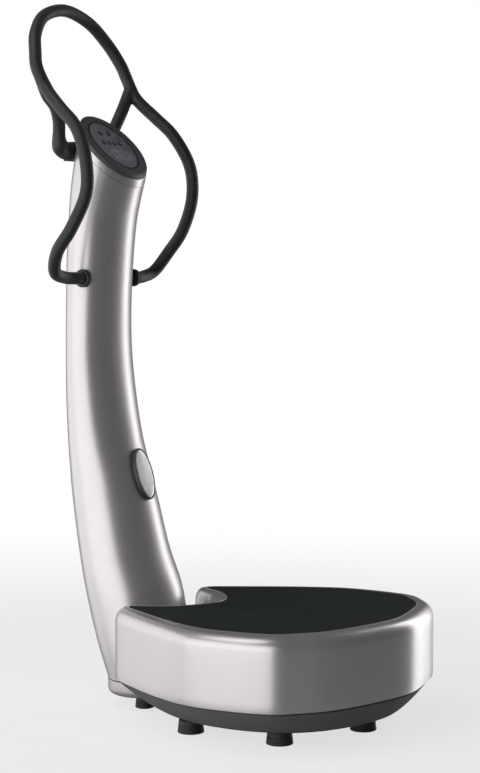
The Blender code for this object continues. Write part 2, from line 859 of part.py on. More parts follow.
def station_ring(station, angles):
    """Return points round a station; angle 0 is +Y and 90 degrees is +X."""
    front_y, front_z, rear_y, rear_z, half_width = station
    front = Vector((0.0, front_y, front_z))
    rear = Vector((0.0, rear_y, rear_z))
    centre = (front + rear) / 2
    along = (rear - front) / 2
    return [
        centre + along * math.cos(angle) + Vector((half_width * math.sin(angle), 0, 0))
        for angle in angles
    ]


def spread(first, last, count):
    """Return evenly spaced values from the first to the last."""
    return [first + (last - first) * k / (count - 1) for k in range(count)]


def build_column(cutters):
    """Build the column's main shell and its rear cover strip."""
    stations = column_stations()
    seam = REAR_SEAM / stations[0][4]
    shares = (2 * math.pi - 2 * REAR_COVER_ANGLE) / (2 * math.pi)
    count = round(COLUMN_SIDES * shares) + 1
    wide = spread(REAR_COVER_ANGLE + seam, 2 * math.pi - REAR_COVER_ANGLE - seam, count)
    narrow = spread(-REAR_COVER_ANGLE, REAR_COVER_ANGLE, COLUMN_SIDES - count + 2)
    pieces = []
    slab = 0.2
    trim = add_cutter("cut_seam", box_mesh((2 * slab, 2 * slab, slab)))
    seam_frame = console_frame(RIM_HEIGHT + HOUSING_HEIGHT + GAP)
    trim.matrix_world = seam_frame @ Matrix.Translation((0.0, 0.0, slab / 2))
    for name, angles in (("column_shell", wide), ("column_rear_cover", narrow)):
        rings = [station_ring(station, angles) for station in stations]
        rings = [list(reversed(ring)) for ring in rings]
        obj = add_part(name, loft(rings, closed=False), (SILVER, 0.35, 0.9))
        solidify(obj, COLUMN_WALL)
        combine(obj, trim, "DIFFERENCE")
        pieces.append(obj)
    shell, rear_cover = pieces
    for cutter in cutters["shell"]:
        combine(shell, cutter, "DIFFERENCE")
    for cutter in cutters["rear"]:
        combine(rear_cover, cutter, "DIFFERENCE")


def full_ring(station, sides=None):
    """Return a closed ring of points round a station, counter-clockwise."""
    sides = sides or COLUMN_SIDES
    angles = [-2 * math.pi * k / sides for k in range(sides)]
    return station_ring(station, angles)


def build_shoe(plug_holes, tongue):
    """Build the grey shoe under the column, a tub with a rounded bottom."""
    front, rear, half = COLUMN_STATIONS[0]
    top = front[1] - SHOE_SEAM
    middle_y = (front[0] + rear[0]) / 2
    depth = (rear[0] - front[0]) / 2
    height = top - FOOT_HEIGHT
    rings = []
    for share, inset in ((0.0, 0.016), (0.12, 0.007), (0.35, 0.002), (1.0, 0.0)):
        z = FOOT_HEIGHT + height * share
        low = middle_y - depth + inset
        high = middle_y + depth - inset
        rings.append(full_ring((low, z, high, z, half - inset)))
    obj = add_part("column_shoe", loft(rings, cap_first=True), (SHOE_GREY, 0.45, 0.6))
    solidify(obj, PAN_WALL)
    for cutter in plug_holes:
        combine(obj, cutter, "DIFFERENCE")
    combine(obj, tongue, "DIFFERENCE")


def build_post():
    """Build the steel post, its foot flange and the bracket on its top."""
    y, _, _ = station_at(CHASSIS_TOP_Z + FLANGE_THICKNESS)
    flange_z = CHASSIS_TOP_Z + GAP + FLANGE_THICKNESS / 2
    size = (*FLANGE_SIZE, FLANGE_THICKNESS)
    flange = add_part("post_flange", box_mesh(size), (STEEL, 0.5, 1.0))
    flange.location = (0.0, y, flange_z)
    foot_z = flange_z + FLANGE_THICKNESS / 2 + GAP
    heights = spread(foot_z, POST_TOP_Z, 14)
    points = [(0.0, station_at(z)[0], z) for z in heights]
    points[0] = (0.0, points[1][1], foot_z)
    points[-1] = (0.0, points[-2][1], POST_TOP_Z)
    curve = path_curve(points, POST_DIAMETER, capped=False)
    curve.bevel_resolution = 5
    post = add_part("column_post", curve, (STEEL, 0.5, 1.0))
    solidify(post, POST_WALL)
    y = points[-1][1]
    size = (2 * HANDLE_INSIDE_X - 2 * GAP, 0.070, 0.080)
    bracket = add_part("head_bracket", box_mesh(size), (STEEL, 0.5, 1.0))
    bracket.location = (0.0, y - 0.003, POST_TOP_Z + GAP + size[2] / 2)
    arm_low = POST_TOP_Z + size[2] / 2
    arm_high = BRACKET_Z + 0.008
    arm = add_cutter("add_arm", box_mesh((0.040, 0.014, arm_high - arm_low)))
    arm.location = (0.0, 0.3485, (arm_low + arm_high) / 2)
    combine(bracket, arm, "UNION")


def build_badge():
    """Build the plain oval badge and its ring on the column's front."""
    y, depth, _ = station_at(BADGE_Z)
    high_y, high_depth, _ = station_at(BADGE_Z + 0.04)
    low_y, low_depth, _ = station_at(BADGE_Z - 0.04)
    lean = math.atan2((high_y - high_depth) - (low_y - low_depth), 0.08)
    forward = Vector((0.0, -math.cos(lean), math.sin(lean)))
    up = Vector((0.0, math.sin(lean), math.cos(lean)))
    across = Vector((1.0, 0.0, 0.0))
    turn_out = Matrix((across, up, forward)).transposed().to_4x4()
    turn_out.col[0] = (*(-across), 0.0)
    sides = 32
    inner = oval(BADGE_HALF_WIDTH, BADGE_HALF_LENGTH, sides)
    outer = oval(
        BADGE_HALF_WIDTH + BADGE_RING_WIDTH, BADGE_HALF_LENGTH + BADGE_RING_WIDTH, sides
    )
    bore = oval(BADGE_HALF_WIDTH + GAP, BADGE_HALF_LENGTH + GAP, sides)
    place = Vector((0.0, y - depth, BADGE_Z)) + forward * (BADGE_THICKNESS / 2 + 0.0015)
    disc = add_part("badge", outline_curve([inner], BADGE_THICKNESS), (SILVER, 0.3, 0.9))
    disc.matrix_world = Matrix.Translation(place) @ turn_out
    ring = outline_curve([outer, bore], BADGE_THICKNESS)
    ring_part = add_part("badge_ring", ring, (PAN_GREY, 0.4))
    ring_part.matrix_world = Matrix.Translation(place) @ turn_out


def oval(half_x, half_y, sides):
    """Return the loop of an oval round the origin."""
    return [
        (
            half_x * math.cos(2 * math.pi * k / sides),
            half_y * math.sin(2 * math.pi * k / sides),
        )
        for k in range(sides)
    ]


# --- Console -----------------------------------------------------------------
def flat_station(drop, inset=0.0):
    """Return a console station as one flat tuple, with an inset."""
    frame = console_frame(drop)
    length = CONSOLE_HALF_LENGTH - inset
    front = frame @ Vector((0.0, -length, 0.0))
    rear = frame @ Vector((0.0, length, 0.0))
    return (front.y, front.z, rear.y, rear.z, CONSOLE_HALF_WIDTH - inset)


def ring_part(name, rings, finish):
    """Add a closed ring whose section runs through these loops."""
    shape = bmesh.new()
    shape.from_mesh(loft([*rings, rings[0]]))
    bmesh.ops.remove_doubles(shape, verts=shape.verts, dist=0.00001)
    bmesh.ops.recalc_face_normals(shape, faces=shape.faces)
    return add_part(name, finished(shape), finish)


def build_console_housing():
    """Build the silver ring between the column's seam and the dark rim."""
    low = RIM_HEIGHT + HOUSING_HEIGHT
    high = RIM_HEIGHT + GAP
    rings = [
        full_ring(flat_station(low)),
        full_ring(flat_station(high)),
        full_ring(flat_station(high, COLUMN_WALL)),
        full_ring(flat_station(low, COLUMN_WALL)),
    ]
    ring_part("console_housing", rings, (SILVER, 0.35, 0.9))


def lens_station(drop, extra):
    """Return the station of the lens opening at a depth, grown by extra."""
    frame = console_frame(0.0)
    length = LENS_HALF_LENGTH + extra
    front = frame @ Vector((0.0, -length, -drop))
    rear = frame @ Vector((0.0, length, -drop))
    return (front.y, front.z, rear.y, rear.z, LENS_HALF_WIDTH + extra)


def build_console_rim():
    """Build the dark rim: a closed ring from the outer edge to the lens."""
    under = LENS_RECESS + LENS_THICKNESS + 2 * GAP
    rings = [
        full_ring(lens_station(under + 0.003, -0.003)),
        full_ring(flat_station(RIM_HEIGHT)),
        full_ring(flat_station(0.003)),
        full_ring(flat_station(0.0, 0.004)),
        full_ring(lens_station(0.0, GAP)),
        full_ring(lens_station(under, GAP)),
        full_ring(lens_station(under, -0.003)),
    ]
    ring_part("console_rim", rings, (PAN_GREY, 0.45))


def build_console_face():
    """Build the lens, the display, the board and the six buttons."""
    frame = console_frame(0.0)
    lens_z = -LENS_RECESS - LENS_THICKNESS / 2
    holes = []
    for x, y in BUTTON_PLACES.values():
        radius = BUTTON_DIAMETER / 2 + BUTTON_CLEARANCE
        holes.append([(x + px, y + py) for px, py in oval(radius, radius, 16)])
    loops = [oval(LENS_HALF_WIDTH, LENS_HALF_LENGTH, 40), *holes]
    lens = add_part(
        "console_lens", outline_curve(loops, LENS_THICKNESS), ((0.10, 0.10, 0.11), 0.15)
    )
    lens.matrix_world = frame @ Matrix.Translation((0.0, 0.0, lens_z))
    under = LENS_RECESS + LENS_THICKNESS + GAP
    lcd = add_part("display", box_mesh(LCD_SIZE), ((0.16, 0.16, 0.18), 0.3))
    lcd.matrix_world = frame @ Matrix.Translation((0.0, LCD_OFFSET, -under - LCD_SIZE[2] / 2))
    button_low = LENS_RECESS - BUTTON_PROUD + BUTTON_HEIGHT
    board_top = button_low + BUTTON_TRAVEL + 0.0005
    board_z = -board_top - BOARD_SIZE[2] / 2
    board = add_part("control_board", box_mesh(BOARD_SIZE), ((0.02, 0.09, 0.04), 0.5))
    board.matrix_world = frame @ Matrix.Translation((0.0, 0.0, board_z))
    for name, (x, y) in BUTTON_PLACES.items():
        data = cylinder_mesh(BUTTON_DIAMETER, BUTTON_HEIGHT, 16)
        button = add_part(f"button_{name}", data, ((0.05, 0.05, 0.055), 0.5))
        z = -LENS_RECESS + BUTTON_PROUD - BUTTON_HEIGHT / 2
        button.matrix_world = frame @ Matrix.Translation((x, y, z))


# --- Mains panel -------------------------------------------------------------
def build_mains_panel():
    """Build the recessed panel with the mains inlet and the rocker switch."""
    panel = add_part("mains_panel", box_mesh(PANEL_SIZE), (PAN_GREY, 0.5))
    panel.location = (0.0, PANEL_Y - PANEL_SIZE[1] / 2, PANEL_Z)
    inlet_hole = (INLET_SIZE[0] + 2 * GAP, 0.05, INLET_SIZE[2] + 2 * GAP)
    cutter = add_cutter("cut_inlet", box_mesh(inlet_hole))
    cutter.location = (INLET_X, PANEL_Y, PANEL_Z)
    combine(panel, cutter, "DIFFERENCE")
    room = 2 * SWITCH_CLEARANCE
    switch_hole = (SWITCH_SIZE[0] + room, 0.05, SWITCH_SIZE[2] + room)
    cutter = add_cutter("cut_switch", box_mesh(switch_hole))
    cutter.location = (SWITCH_X, PANEL_Y, PANEL_Z)
    combine(panel, cutter, "DIFFERENCE")
    inlet = add_part("mains_inlet", box_mesh(INLET_SIZE), (RUBBER, 0.5))
    inlet.location = (INLET_X, PANEL_Y - INLET_SIZE[1] / 2 + 0.001, PANEL_Z)
    recess = (
        INLET_SIZE[0] - 2 * INLET_WALL,
        INLET_SIZE[1],
        INLET_SIZE[2] - 2 * INLET_WALL,
    )
    cutter = add_cutter("cut_recess", box_mesh(recess))
    cutter.location = inlet.location + Vector((0.0, INLET_WALL, 0.0))
    combine(inlet, cutter, "DIFFERENCE")
    switch = add_part("power_switch", rocker_mesh(), (RUBBER, 0.4))
    switch.location = (SWITCH_X, PANEL_Y, PANEL_Z)
    switch.rotation_euler = (-SWITCH_THROW / 2, 0.0, 0.0)


def rocker_mesh():
    """Return the rocker: a block whose outer face is a shallow V."""
    half_x, half_y, half_z = (value / 2 for value in SWITCH_SIZE)
    dip = math.tan(SWITCH_THROW / 2) * half_z
    profile = (
        (-half_y * 0.4, -half_z * 0.8),
        (half_y * 0.6, -half_z),
        (half_y * 0.6 - dip, 0.0),
        (half_y * 0.6, half_z),
        (-half_y * 0.4, half_z * 0.8),
    )
    rings = [[(x, y, z) for y, z in profile] for x in (-half_x, half_x)]
    return loft(rings, cap_first=True, cap_last=True)


# --- Handle ------------------------------------------------------------------
def split_path(stub):
    """Return the grip's part and the hoop's part of the right centreline."""
    points = (stub, *GRIP_POINTS, *HOOP_POINTS[1:])
    last = HOOP_POINTS[-2]
    path = smooth_path((*points, (-last[0], last[1], last[2])), TUBE_STEPS)
    path = path[:-TUBE_STEPS]
    border = TUBE_STEPS * len(GRIP_POINTS)
    return path[: border + 1], path[border:]


def butt_gap(before, joint, after):
    """Return how far to pull back two tube ends that meet at a bend."""
    one = Vector(joint) - Vector(before)
    two = Vector(after) - Vector(joint)
    return FOAM_DIAMETER / 2 * math.tan(one.angle(two) / 2) + GAP


def shortened(points, start=0.0, end=0.0):
    """Pull the two ends of a path in by these lengths."""
    places = [Vector(place) for place in points]
    if start:
        places[0] += (places[1] - places[0]).normalized() * start
    if end:
        places[-1] += (places[-2] - places[-1]).normalized() * end
    return [tuple(place) for place in places]


def sleeve(name, points):
    """Add one foam sleeve round the handle's steel tube."""
    obj = add_part(name, path_curve(points, FOAM_DIAMETER, False), (FOAM, 0.8))
    flat = FOAM_DIAMETER / 2 * math.cos(math.pi / TUBE_SIDES)
    solidify(obj, flat - TUBE_DIAMETER / 2 - 2 * GAP)
    return obj


def steel_tube(name, points):
    """Add one length of the handle's steel tube."""
    obj = add_part(name, path_curve(points, TUBE_DIAMETER, False), (STEEL, 0.4, 1.0))
    solidify(obj, TUBE_WALL)
    return obj


def build_handle():
    """Build the looped handle: tubes, sleeves, collars, elbows, bracket."""
    start = Vector((0.0, *GRIP_START))
    collar_x = station_at(start.z)[2] + GAP
    sleeve_x = collar_x + COLLAR_LENGTH + GAP
    grip, hoop = split_path((sleeve_x + GRIP_STUB, start.y, start.z))
    gap = butt_gap(grip[-2], grip[-1], hoop[1])
    entry = (sleeve_x, start.y, start.z)
    grip_sleeve = shortened([entry, *grip], end=gap)
    inner_end = (HANDLE_INSIDE_X, start.y, start.z)
    right_tube = [inner_end, *grip, *hoop[1:]]
    left_tube = mirrored(right_tube)
    steel_tube("handle_tube", [*left_tube, *reversed(right_tube[:-1])])
    whole_hoop = [*mirrored(hoop), *reversed(hoop[:-1])]
    whole_hoop = shortened(whole_hoop, start=gap, end=gap)
    for side, name in ((1, "right"), (-1, "left")):
        flip = list if side > 0 else mirrored
        sleeve(f"grip_sleeve_{name}", flip(grip_sleeve))
        build_collar(side, name, collar_x, start)
    sleeve("hoop_sleeve", whole_hoop)
    for side, name in ((1, "right"), (-1, "left")):
        flip = list if side > 0 else mirrored
        whole = flip([*grip, *hoop[1:]])
        width = FOAM_DIAMETER + 5 * GAP
        guide = add_cutter(f"cut_branch_{name}", path_curve(whole, width, True))
        guide = as_cutter(guide)
        branch = flip(smooth_path(SUPPORT_POINTS, TUBE_STEPS))
        for obj in (
            sleeve(f"support_sleeve_{name}", branch),
            steel_tube(f"support_tube_{name}", branch),
        ):
            combine(remade(obj) if obj.type == "CURVE" else obj, guide, "DIFFERENCE")
        bend = smooth_path(ELBOW_POINTS, TUBE_STEPS)
        inner = (BRACKET_SIZE[0] / 2 + GAP, *ELBOW_POINTS[-1][1:])
        elbow = flip([*bend, inner])
        curve = path_curve(elbow, ELBOW_DIAMETER, True)
        add_part(f"support_elbow_{name}", curve, (RUBBER, 0.7))
    bracket = add_part("support_bracket", box_mesh(BRACKET_SIZE), (RUBBER, 0.6))
    bracket.location = (0.0, BRACKET_Y, BRACKET_Z)
    bevel(bracket, 0.004, 2)


def build_collar(side, name, x, start):
    """Build the rubber collar where the handle enters the column's side."""
    bore = TUBE_DIAMETER / 2 + GAP
    outer = COLLAR_DIAMETER / 2
    profile = (
        (bore, COLLAR_LENGTH),
        (outer - 0.003, COLLAR_LENGTH),
        (outer, COLLAR_LENGTH - 0.003),
        (outer, 0.0),
        (bore, 0.0),
        (bore, COLLAR_LENGTH),
    )
    collar = add_part(f"collar_{name}", turned_mesh(profile), (RUBBER, 0.7))
    turn(collar, 20)
    sideways = Matrix.Rotation(math.radians(90 * side), 4, "Y")
    collar.matrix_world = Matrix.Translation((side * x, start.y, start.z)) @ sideways


def column_cutters():
    """Return the cutters for the openings in the column's two shells."""
    handle = add_cutter(
        "cut_handle", cylinder_mesh(TUBE_DIAMETER + 0.002, 0.5, 20, "X")
    )
    handle.location = (0.0, *GRIP_START)
    window = (
        PANEL_SIZE[0] - 2 * PANEL_MARGIN,
        0.08,
        PANEL_SIZE[2] - 2 * PANEL_MARGIN,
    )
    mains = add_cutter("cut_mains", box_mesh(window))
    mains.location = (0.0, PANEL_Y + 0.02, PANEL_Z)
    return {"shell": [handle], "rear": [mains]}


def main():
    """Build every piece of the vibration plate."""
    cover_loop = smooth_loop(scaled_outline(COVER_OUTLINE), OUTLINE_STEPS)
    plug_holes = plug_cutters()
    tongue = tongue_cutter()
    build_pan(cover_loop, plug_holes[:5], tongue)
    build_chassis(plug_holes)
    build_feet()
    build_isolators()
    build_drive_box()
    build_cover(cover_loop)
    build_mat(cover_loop)
    build_deck()
    for side, name in ((-1, "left"), (1, "right")):
        build_motor(side, name)
    build_shoe(plug_holes[5:], tongue)
    build_post()
    build_column(column_cutters())
    build_badge()
    build_console_housing()
    build_console_rim()
    build_console_face()
    build_mains_panel()
    build_handle()
    for obj in PARTS.objects:
        if obj.type == "MESH":
            obj.data.shade_smooth()
            obj.data.set_sharp_from_angle(angle=math.radians(35.0))


clear_scene()
PARTS = new_collection("vibration_plate")
CUTTERS = new_collection("cutters")
main()
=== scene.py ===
"""Vibration plate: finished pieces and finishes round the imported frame.

Lengths are metres. +Z is up, and the user stands on the mat and faces +Y,
towards the column. Every piece is built in its final place.
"""

import json
import logging
import math
from dataclasses import dataclass, field
from enum import Enum

import bmesh
import bpy
from mathutils import Matrix, Vector

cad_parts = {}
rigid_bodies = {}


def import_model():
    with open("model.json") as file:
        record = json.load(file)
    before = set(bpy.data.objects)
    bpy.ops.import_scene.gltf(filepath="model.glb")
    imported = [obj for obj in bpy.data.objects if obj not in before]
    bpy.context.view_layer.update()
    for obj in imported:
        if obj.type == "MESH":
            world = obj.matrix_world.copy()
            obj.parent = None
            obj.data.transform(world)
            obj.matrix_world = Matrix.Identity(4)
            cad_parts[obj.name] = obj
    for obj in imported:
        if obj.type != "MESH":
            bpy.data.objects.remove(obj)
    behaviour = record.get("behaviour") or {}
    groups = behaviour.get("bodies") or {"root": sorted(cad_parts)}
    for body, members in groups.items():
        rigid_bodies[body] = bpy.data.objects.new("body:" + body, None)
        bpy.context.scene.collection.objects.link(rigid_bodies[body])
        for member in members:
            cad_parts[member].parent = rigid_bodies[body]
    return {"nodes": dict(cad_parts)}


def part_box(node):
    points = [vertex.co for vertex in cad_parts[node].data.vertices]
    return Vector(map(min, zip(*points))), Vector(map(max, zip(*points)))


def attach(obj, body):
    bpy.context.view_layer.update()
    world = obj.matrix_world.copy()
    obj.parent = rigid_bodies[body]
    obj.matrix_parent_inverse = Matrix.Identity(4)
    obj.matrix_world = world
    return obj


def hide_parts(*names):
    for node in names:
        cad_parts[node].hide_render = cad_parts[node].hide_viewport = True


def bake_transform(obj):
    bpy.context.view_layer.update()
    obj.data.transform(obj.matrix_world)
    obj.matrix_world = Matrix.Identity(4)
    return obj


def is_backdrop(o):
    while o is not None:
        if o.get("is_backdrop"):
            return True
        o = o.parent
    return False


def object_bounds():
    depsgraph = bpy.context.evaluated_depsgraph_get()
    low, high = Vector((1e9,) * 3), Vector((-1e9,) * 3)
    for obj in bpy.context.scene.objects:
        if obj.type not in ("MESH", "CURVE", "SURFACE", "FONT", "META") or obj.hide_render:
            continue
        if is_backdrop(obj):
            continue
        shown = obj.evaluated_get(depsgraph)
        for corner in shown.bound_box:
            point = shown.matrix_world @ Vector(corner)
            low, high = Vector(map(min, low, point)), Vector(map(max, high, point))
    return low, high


for _left_over in list(bpy.data.objects):
    bpy.data.objects.remove(_left_over, do_unlink=True)
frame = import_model()

LOG = logging.getLogger("vibration_plate")
SEED = 7
GAP = 0.0003
RING_SIDES = 128

Flat = tuple[float, float]
Colour = tuple[float, float, float]
Row = tuple[float, ...]
Piece = bpy.types.Object
Finish = bpy.types.Material


# --- Shader maths -------------------------------------------------------------
class Socket:
    """One value in a material's graph, used with plain operators."""

    def __init__(self, graph: "Graph", port: bpy.types.NodeSocket) -> None:
        """Wrap an output of a node.

        Args:
            graph: The graph that the node belongs to.
            port: The output itself.
        """
        self.graph = graph
        self.port = port

    def _math(self, operation: str, *values: "Socket | float") -> "Socket":
        """Add a Math node over these values and return its result."""
        settings = {"operation": operation}
        return self.graph.node("ShaderNodeMath", settings, dict(enumerate(values)))

    def __add__(self, other: "Socket | float") -> "Socket":
        """Return the sum."""
        return self._math("ADD", self, other)

    def __radd__(self, other: float) -> "Socket":
        """Return the sum with a number on the left."""
        return self._math("ADD", other, self)

    def __sub__(self, other: "Socket | float") -> "Socket":
        """Return the difference."""
        return self._math("SUBTRACT", self, other)

    def __rsub__(self, other: float) -> "Socket":
        """Return a number less this value."""
        return self._math("SUBTRACT", other, self)

    def __mul__(self, other: "Socket | float") -> "Socket":
        """Return the product."""
        return self._math("MULTIPLY", self, other)

    def __rmul__(self, other: float) -> "Socket":
        """Return the product with a number on the left."""
        return self._math("MULTIPLY", other, self)

    def __pow__(self, power: float) -> "Socket":
        """Return this value raised to a power."""
        return self._math("POWER", self, power)

    def ramp(self, low: float, high: float) -> "Socket":
        """Return a smooth step from 0 at low to 1 at high."""
        inputs = {"Value": self, "From Min": low, "From Max": high}
        return self.graph.node("ShaderNodeMapRange", {"interpolation_type": "SMOOTHSTEP"}, inputs)

    def absolute(self) -> "Socket":
        """Return the value without its sign."""
        return self._math("ABSOLUTE", self)

    def wave(self) -> "Socket":
        """Return the sine of the value."""
        return self._math("SINE", self)

    def above(self, other: "Socket | float") -> "Socket":
        """Return the larger of this value and another."""
        return self._math("MAXIMUM", self, other)


class Graph:
    """The node graph of one material, round its Principled shader."""

    def __init__(self, name: str) -> None:
        """Start a material of this name.

        Args:
            name: The material's name.
        """
        self.material = bpy.data.materials.new(name)
        self.material.use_nodes = True
        self.tree = self.material.node_tree
        self.shader = self.tree.nodes["Principled BSDF"]
        self.place = self.node("ShaderNodeTexCoord", output="Object")

    @staticmethod
    def _port(ports: bpy.types.NodeInputs, key: str | int) -> bpy.types.NodeSocket:
        """Find an input or an output of a node.

        Args:
            ports: The node's inputs or outputs.
            key: Its number, or its name among the live ones.

        Returns:
            The port.
        """
        if isinstance(key, int):
            return ports[key]
        return next(port for port in ports if port.name == key and port.enabled)

    def feed(self, port: bpy.types.NodeSocket, value: object) -> None:
        """Give an input its value.

        Args:
            port: The input.
            value: A socket to link, or the input's own value.
        """
        if isinstance(value, Socket):
            self.tree.links.new(value.port, port)
        elif port.type == "RGBA" and len(value) == 3:
            port.default_value = (*value, 1.0)
        else:
            port.default_value = value

    def node(
        self, kind: str, settings: dict[str, object] | None = None,
        inputs: dict[str | int, object] | None = None, output: str | int = 0,
    ) -> Socket:
        """Add a node: its settings first, then its inputs.

        Args:
            kind: The node's type name.
            settings: The node's own properties.
            inputs: Values or sockets by input name or number.
            output: The output to return.

        Returns:
            The chosen output.
        """
        made = self.tree.nodes.new(kind)
        for key, value in (settings or {}).items():
            setattr(made, key, value)
        for key, value in (inputs or {}).items():
            self.feed(self._port(made.inputs, key), value)
        return Socket(self, self._port(made.outputs, output))

    def mapped(self, stretch: Row) -> Socket:
        """Return the object's coordinates, stretched along each axis."""
        return self.node("ShaderNodeMapping", None, {"Vector": self.place, "Scale": stretch})

    def noise(self, scale: float, detail: float = 3.0, stretch: Row | None = None) -> Socket:
        """Return fractal noise between 0 and 1.

        Args:
            scale: Lumps in each metre.
            detail: How many finer layers it has.
            stretch: How much each axis is squeezed, if it is directional.

        Returns:
            The noise.
        """
        vector = self.mapped(stretch) if stretch else self.place
        inputs = {"Vector": vector, "Scale": scale, "Detail": detail}
        return self.node("ShaderNodeTexNoise", None, inputs, "Fac")

    def cells(self, scale: float, feature: str = "F1", output: str = "Distance") -> Socket:
        """Return one output of a pattern of round cells."""
        inputs = {"Vector": self.place, "Scale": scale}
        return self.node("ShaderNodeTexVoronoi", {"feature": feature}, inputs, output)

    def flakes(self, scale: float) -> Socket:
        """Return one random value for each small cell."""
        return self.node("ShaderNodeSeparateColor", None, {0: self.cells(scale, output="Color")})

    def axis(self, name: str) -> Socket:
        """Return the X, Y or Z of the surface point."""
        return self.node("ShaderNodeSeparateXYZ", None, {0: self.place}, name)

    def tones(self, factor: Socket | float, low: object, high: object) -> Socket:
        """Mix two colours by a factor."""
        inputs = {"Factor": factor, "A": low, "B": high}
        return self.node("ShaderNodeMix", {"data_type": "RGBA"}, inputs, "Result")

    def bump(self, height: Socket, depth: float, strength: float = 1.0) -> None:
        """Raise the surface by a height of this depth in metres."""
        inputs = {"Height": height, "Distance": depth, "Strength": strength}
        self.set(Normal=self.node("ShaderNodeBump", None, inputs, "Normal"))

    def set(self, **values: object) -> None:
        """Set the shader's inputs, with _ for a space in each name."""
        for key, value in values.items():
            self.feed(self.shader.inputs[key.replace("_", " ")], value)


def shade(colour: Colour, factor: float) -> Colour:
    """Return the colour made lighter or darker."""
    return tuple(min(1.0, value * factor) for value in colour)


# --- Finishes -----------------------------------------------------------------
class Grade(Enum):
    """How a bare metal piece was worked."""

    ROLLED = (3.0, 3.0, 3.0)
    DRAWN = (60.0, 60.0, 2.0)
    TURNED = (4.0, 220.0, 4.0)


@dataclass(frozen=True)
class MetallicPaint:
    """Satin silver paint with fine flake under a thin clear coat."""

    name: str
    colour: Colour = (0.615, 0.588, 0.590)
    roughness: float = 0.36
    metallic: float = 0.88
    coat: float = 0.30
    dust_top: float = 0.10

    def build(self) -> Finish:
        """Build the material.

        Returns:
            The material.
        """
        graph = Graph(self.name)
        drift = graph.noise(5.0, 2.0)
        mottle = graph.noise(190.0, 5.0)
        flake = graph.flakes(1500.0)
        tone = drift * 0.35 + mottle * 0.30 + flake * 0.35
        paint = graph.tones(tone, shade(self.colour, 0.84), shade(self.colour, 1.16))
        settled = graph.noise(42.0, 4.0).ramp(0.35, 0.8)
        dust = (1.0 - graph.axis("Z").ramp(0.02, self.dust_top)) * settled * 0.30
        graph.set(Base_Color=graph.tones(dust, paint, (0.34, 0.33, 0.31)))
        scuff = graph.noise(30.0, 3.0, (1.0, 1.0, 9.0)).ramp(0.60, 0.78)
        graph.set(Roughness=self.roughness + (mottle - 0.5) * 0.10 + scuff * 0.05 + dust * 0.4)
        graph.set(Metallic=self.metallic - dust * 0.8, Coat_Weight=self.coat - dust * 0.5)
        graph.set(Coat_Roughness=0.16, IOR=1.5)
        graph.bump(graph.noise(420.0, 2.0) * 0.6 + flake * 0.4, 0.00003, 0.35)
        return graph.material


@dataclass(frozen=True)
class HandleFoam:
    """Closed-cell foam with a soft skin."""

    name: str = "handle_foam"
    colour: Colour = (0.0125, 0.0150, 0.0165)

    def build(self) -> Finish:
        """Build the material.

        Returns:
            The material.
        """
        graph = Graph(self.name)
        cells = graph.cells(900.0)
        skin = graph.noise(70.0, 4.0)
        worn = graph.noise(9.0, 3.0).ramp(0.52, 0.75)
        base = graph.tones(skin, shade(self.colour, 0.75), shade(self.colour, 1.35))
        graph.set(Base_Color=graph.tones(worn * 0.35, base, shade(self.colour, 2.1)))
        graph.set(Roughness=0.50 + (skin - 0.5) * 0.14 - worn * 0.06)
        graph.set(Sheen_Weight=0.10, Sheen_Roughness=0.5, Specular_IOR_Level=0.45)
        graph.bump(cells * 0.7 + skin * 0.8, 0.00022, 0.55)
        return graph.material


@dataclass(frozen=True)
class MouldedRubber:
    """Firm black rubber with moulding grain and a dusty bloom."""

    name: str
    colour: Colour = (0.013, 0.014, 0.015)
    bloom: float = 0.35
    roughness: float = 0.58

    def build(self) -> Finish:
        """Build the material.

        Returns:
            The material.
        """
        graph = Graph(self.name)
        grain = graph.noise(1100.0, 3.0)
        bloom = graph.noise(55.0, 5.0).ramp(0.42, 0.78) * self.bloom
        base = graph.tones(grain, shade(self.colour, 0.7), shade(self.colour, 1.4))
        graph.set(Base_Color=graph.tones(bloom, base, (0.060, 0.060, 0.060)))
        graph.set(Roughness=self.roughness + bloom * 0.3 + (grain - 0.5) * 0.08)
        graph.bump(grain, 0.00012, 0.6)
        return graph.material


@dataclass(frozen=True)
class TreadRubber:
    """Blue-black mat rubber with a fine studded tread, worn where feet stand."""

    name: str = "mat_rubber"
    colour: Colour = (0.0105, 0.0155, 0.0170)
    pitch: float = 0.0042

    def build(self) -> Finish:
        """Build the material.

        Returns:
            The material.
        """
        graph = Graph(self.name)
        turns = 2.0 * math.pi / self.pitch
        across = (graph.axis("X") * turns).wave()
        along = (graph.axis("Y") * turns).wave()
        studs = (across * along).ramp(-0.15, 0.55)
        grain = graph.noise(900.0, 4.0)
        stance = graph.axis("X").absolute() - 0.13
        reach = (stance * stance * 2.2 + (graph.axis("Y") + 0.17) ** 2.0) ** 0.5
        worn = (1.0 - reach.ramp(0.03, 0.19)) * graph.noise(16.0, 5.0).ramp(0.35, 0.75)
        base = graph.tones(grain, shade(self.colour, 0.8), shade(self.colour, 1.25))
        graph.set(Base_Color=graph.tones(worn * 0.25, base, shade(self.colour, 2.4)))
        graph.set(Roughness=0.66 - worn * 0.10 + (grain - 0.5) * 0.10)
        graph.set(Specular_IOR_Level=0.20)
        graph.bump(studs * 0.75 + grain * 0.25, 0.00030, 0.45)
        return graph.material


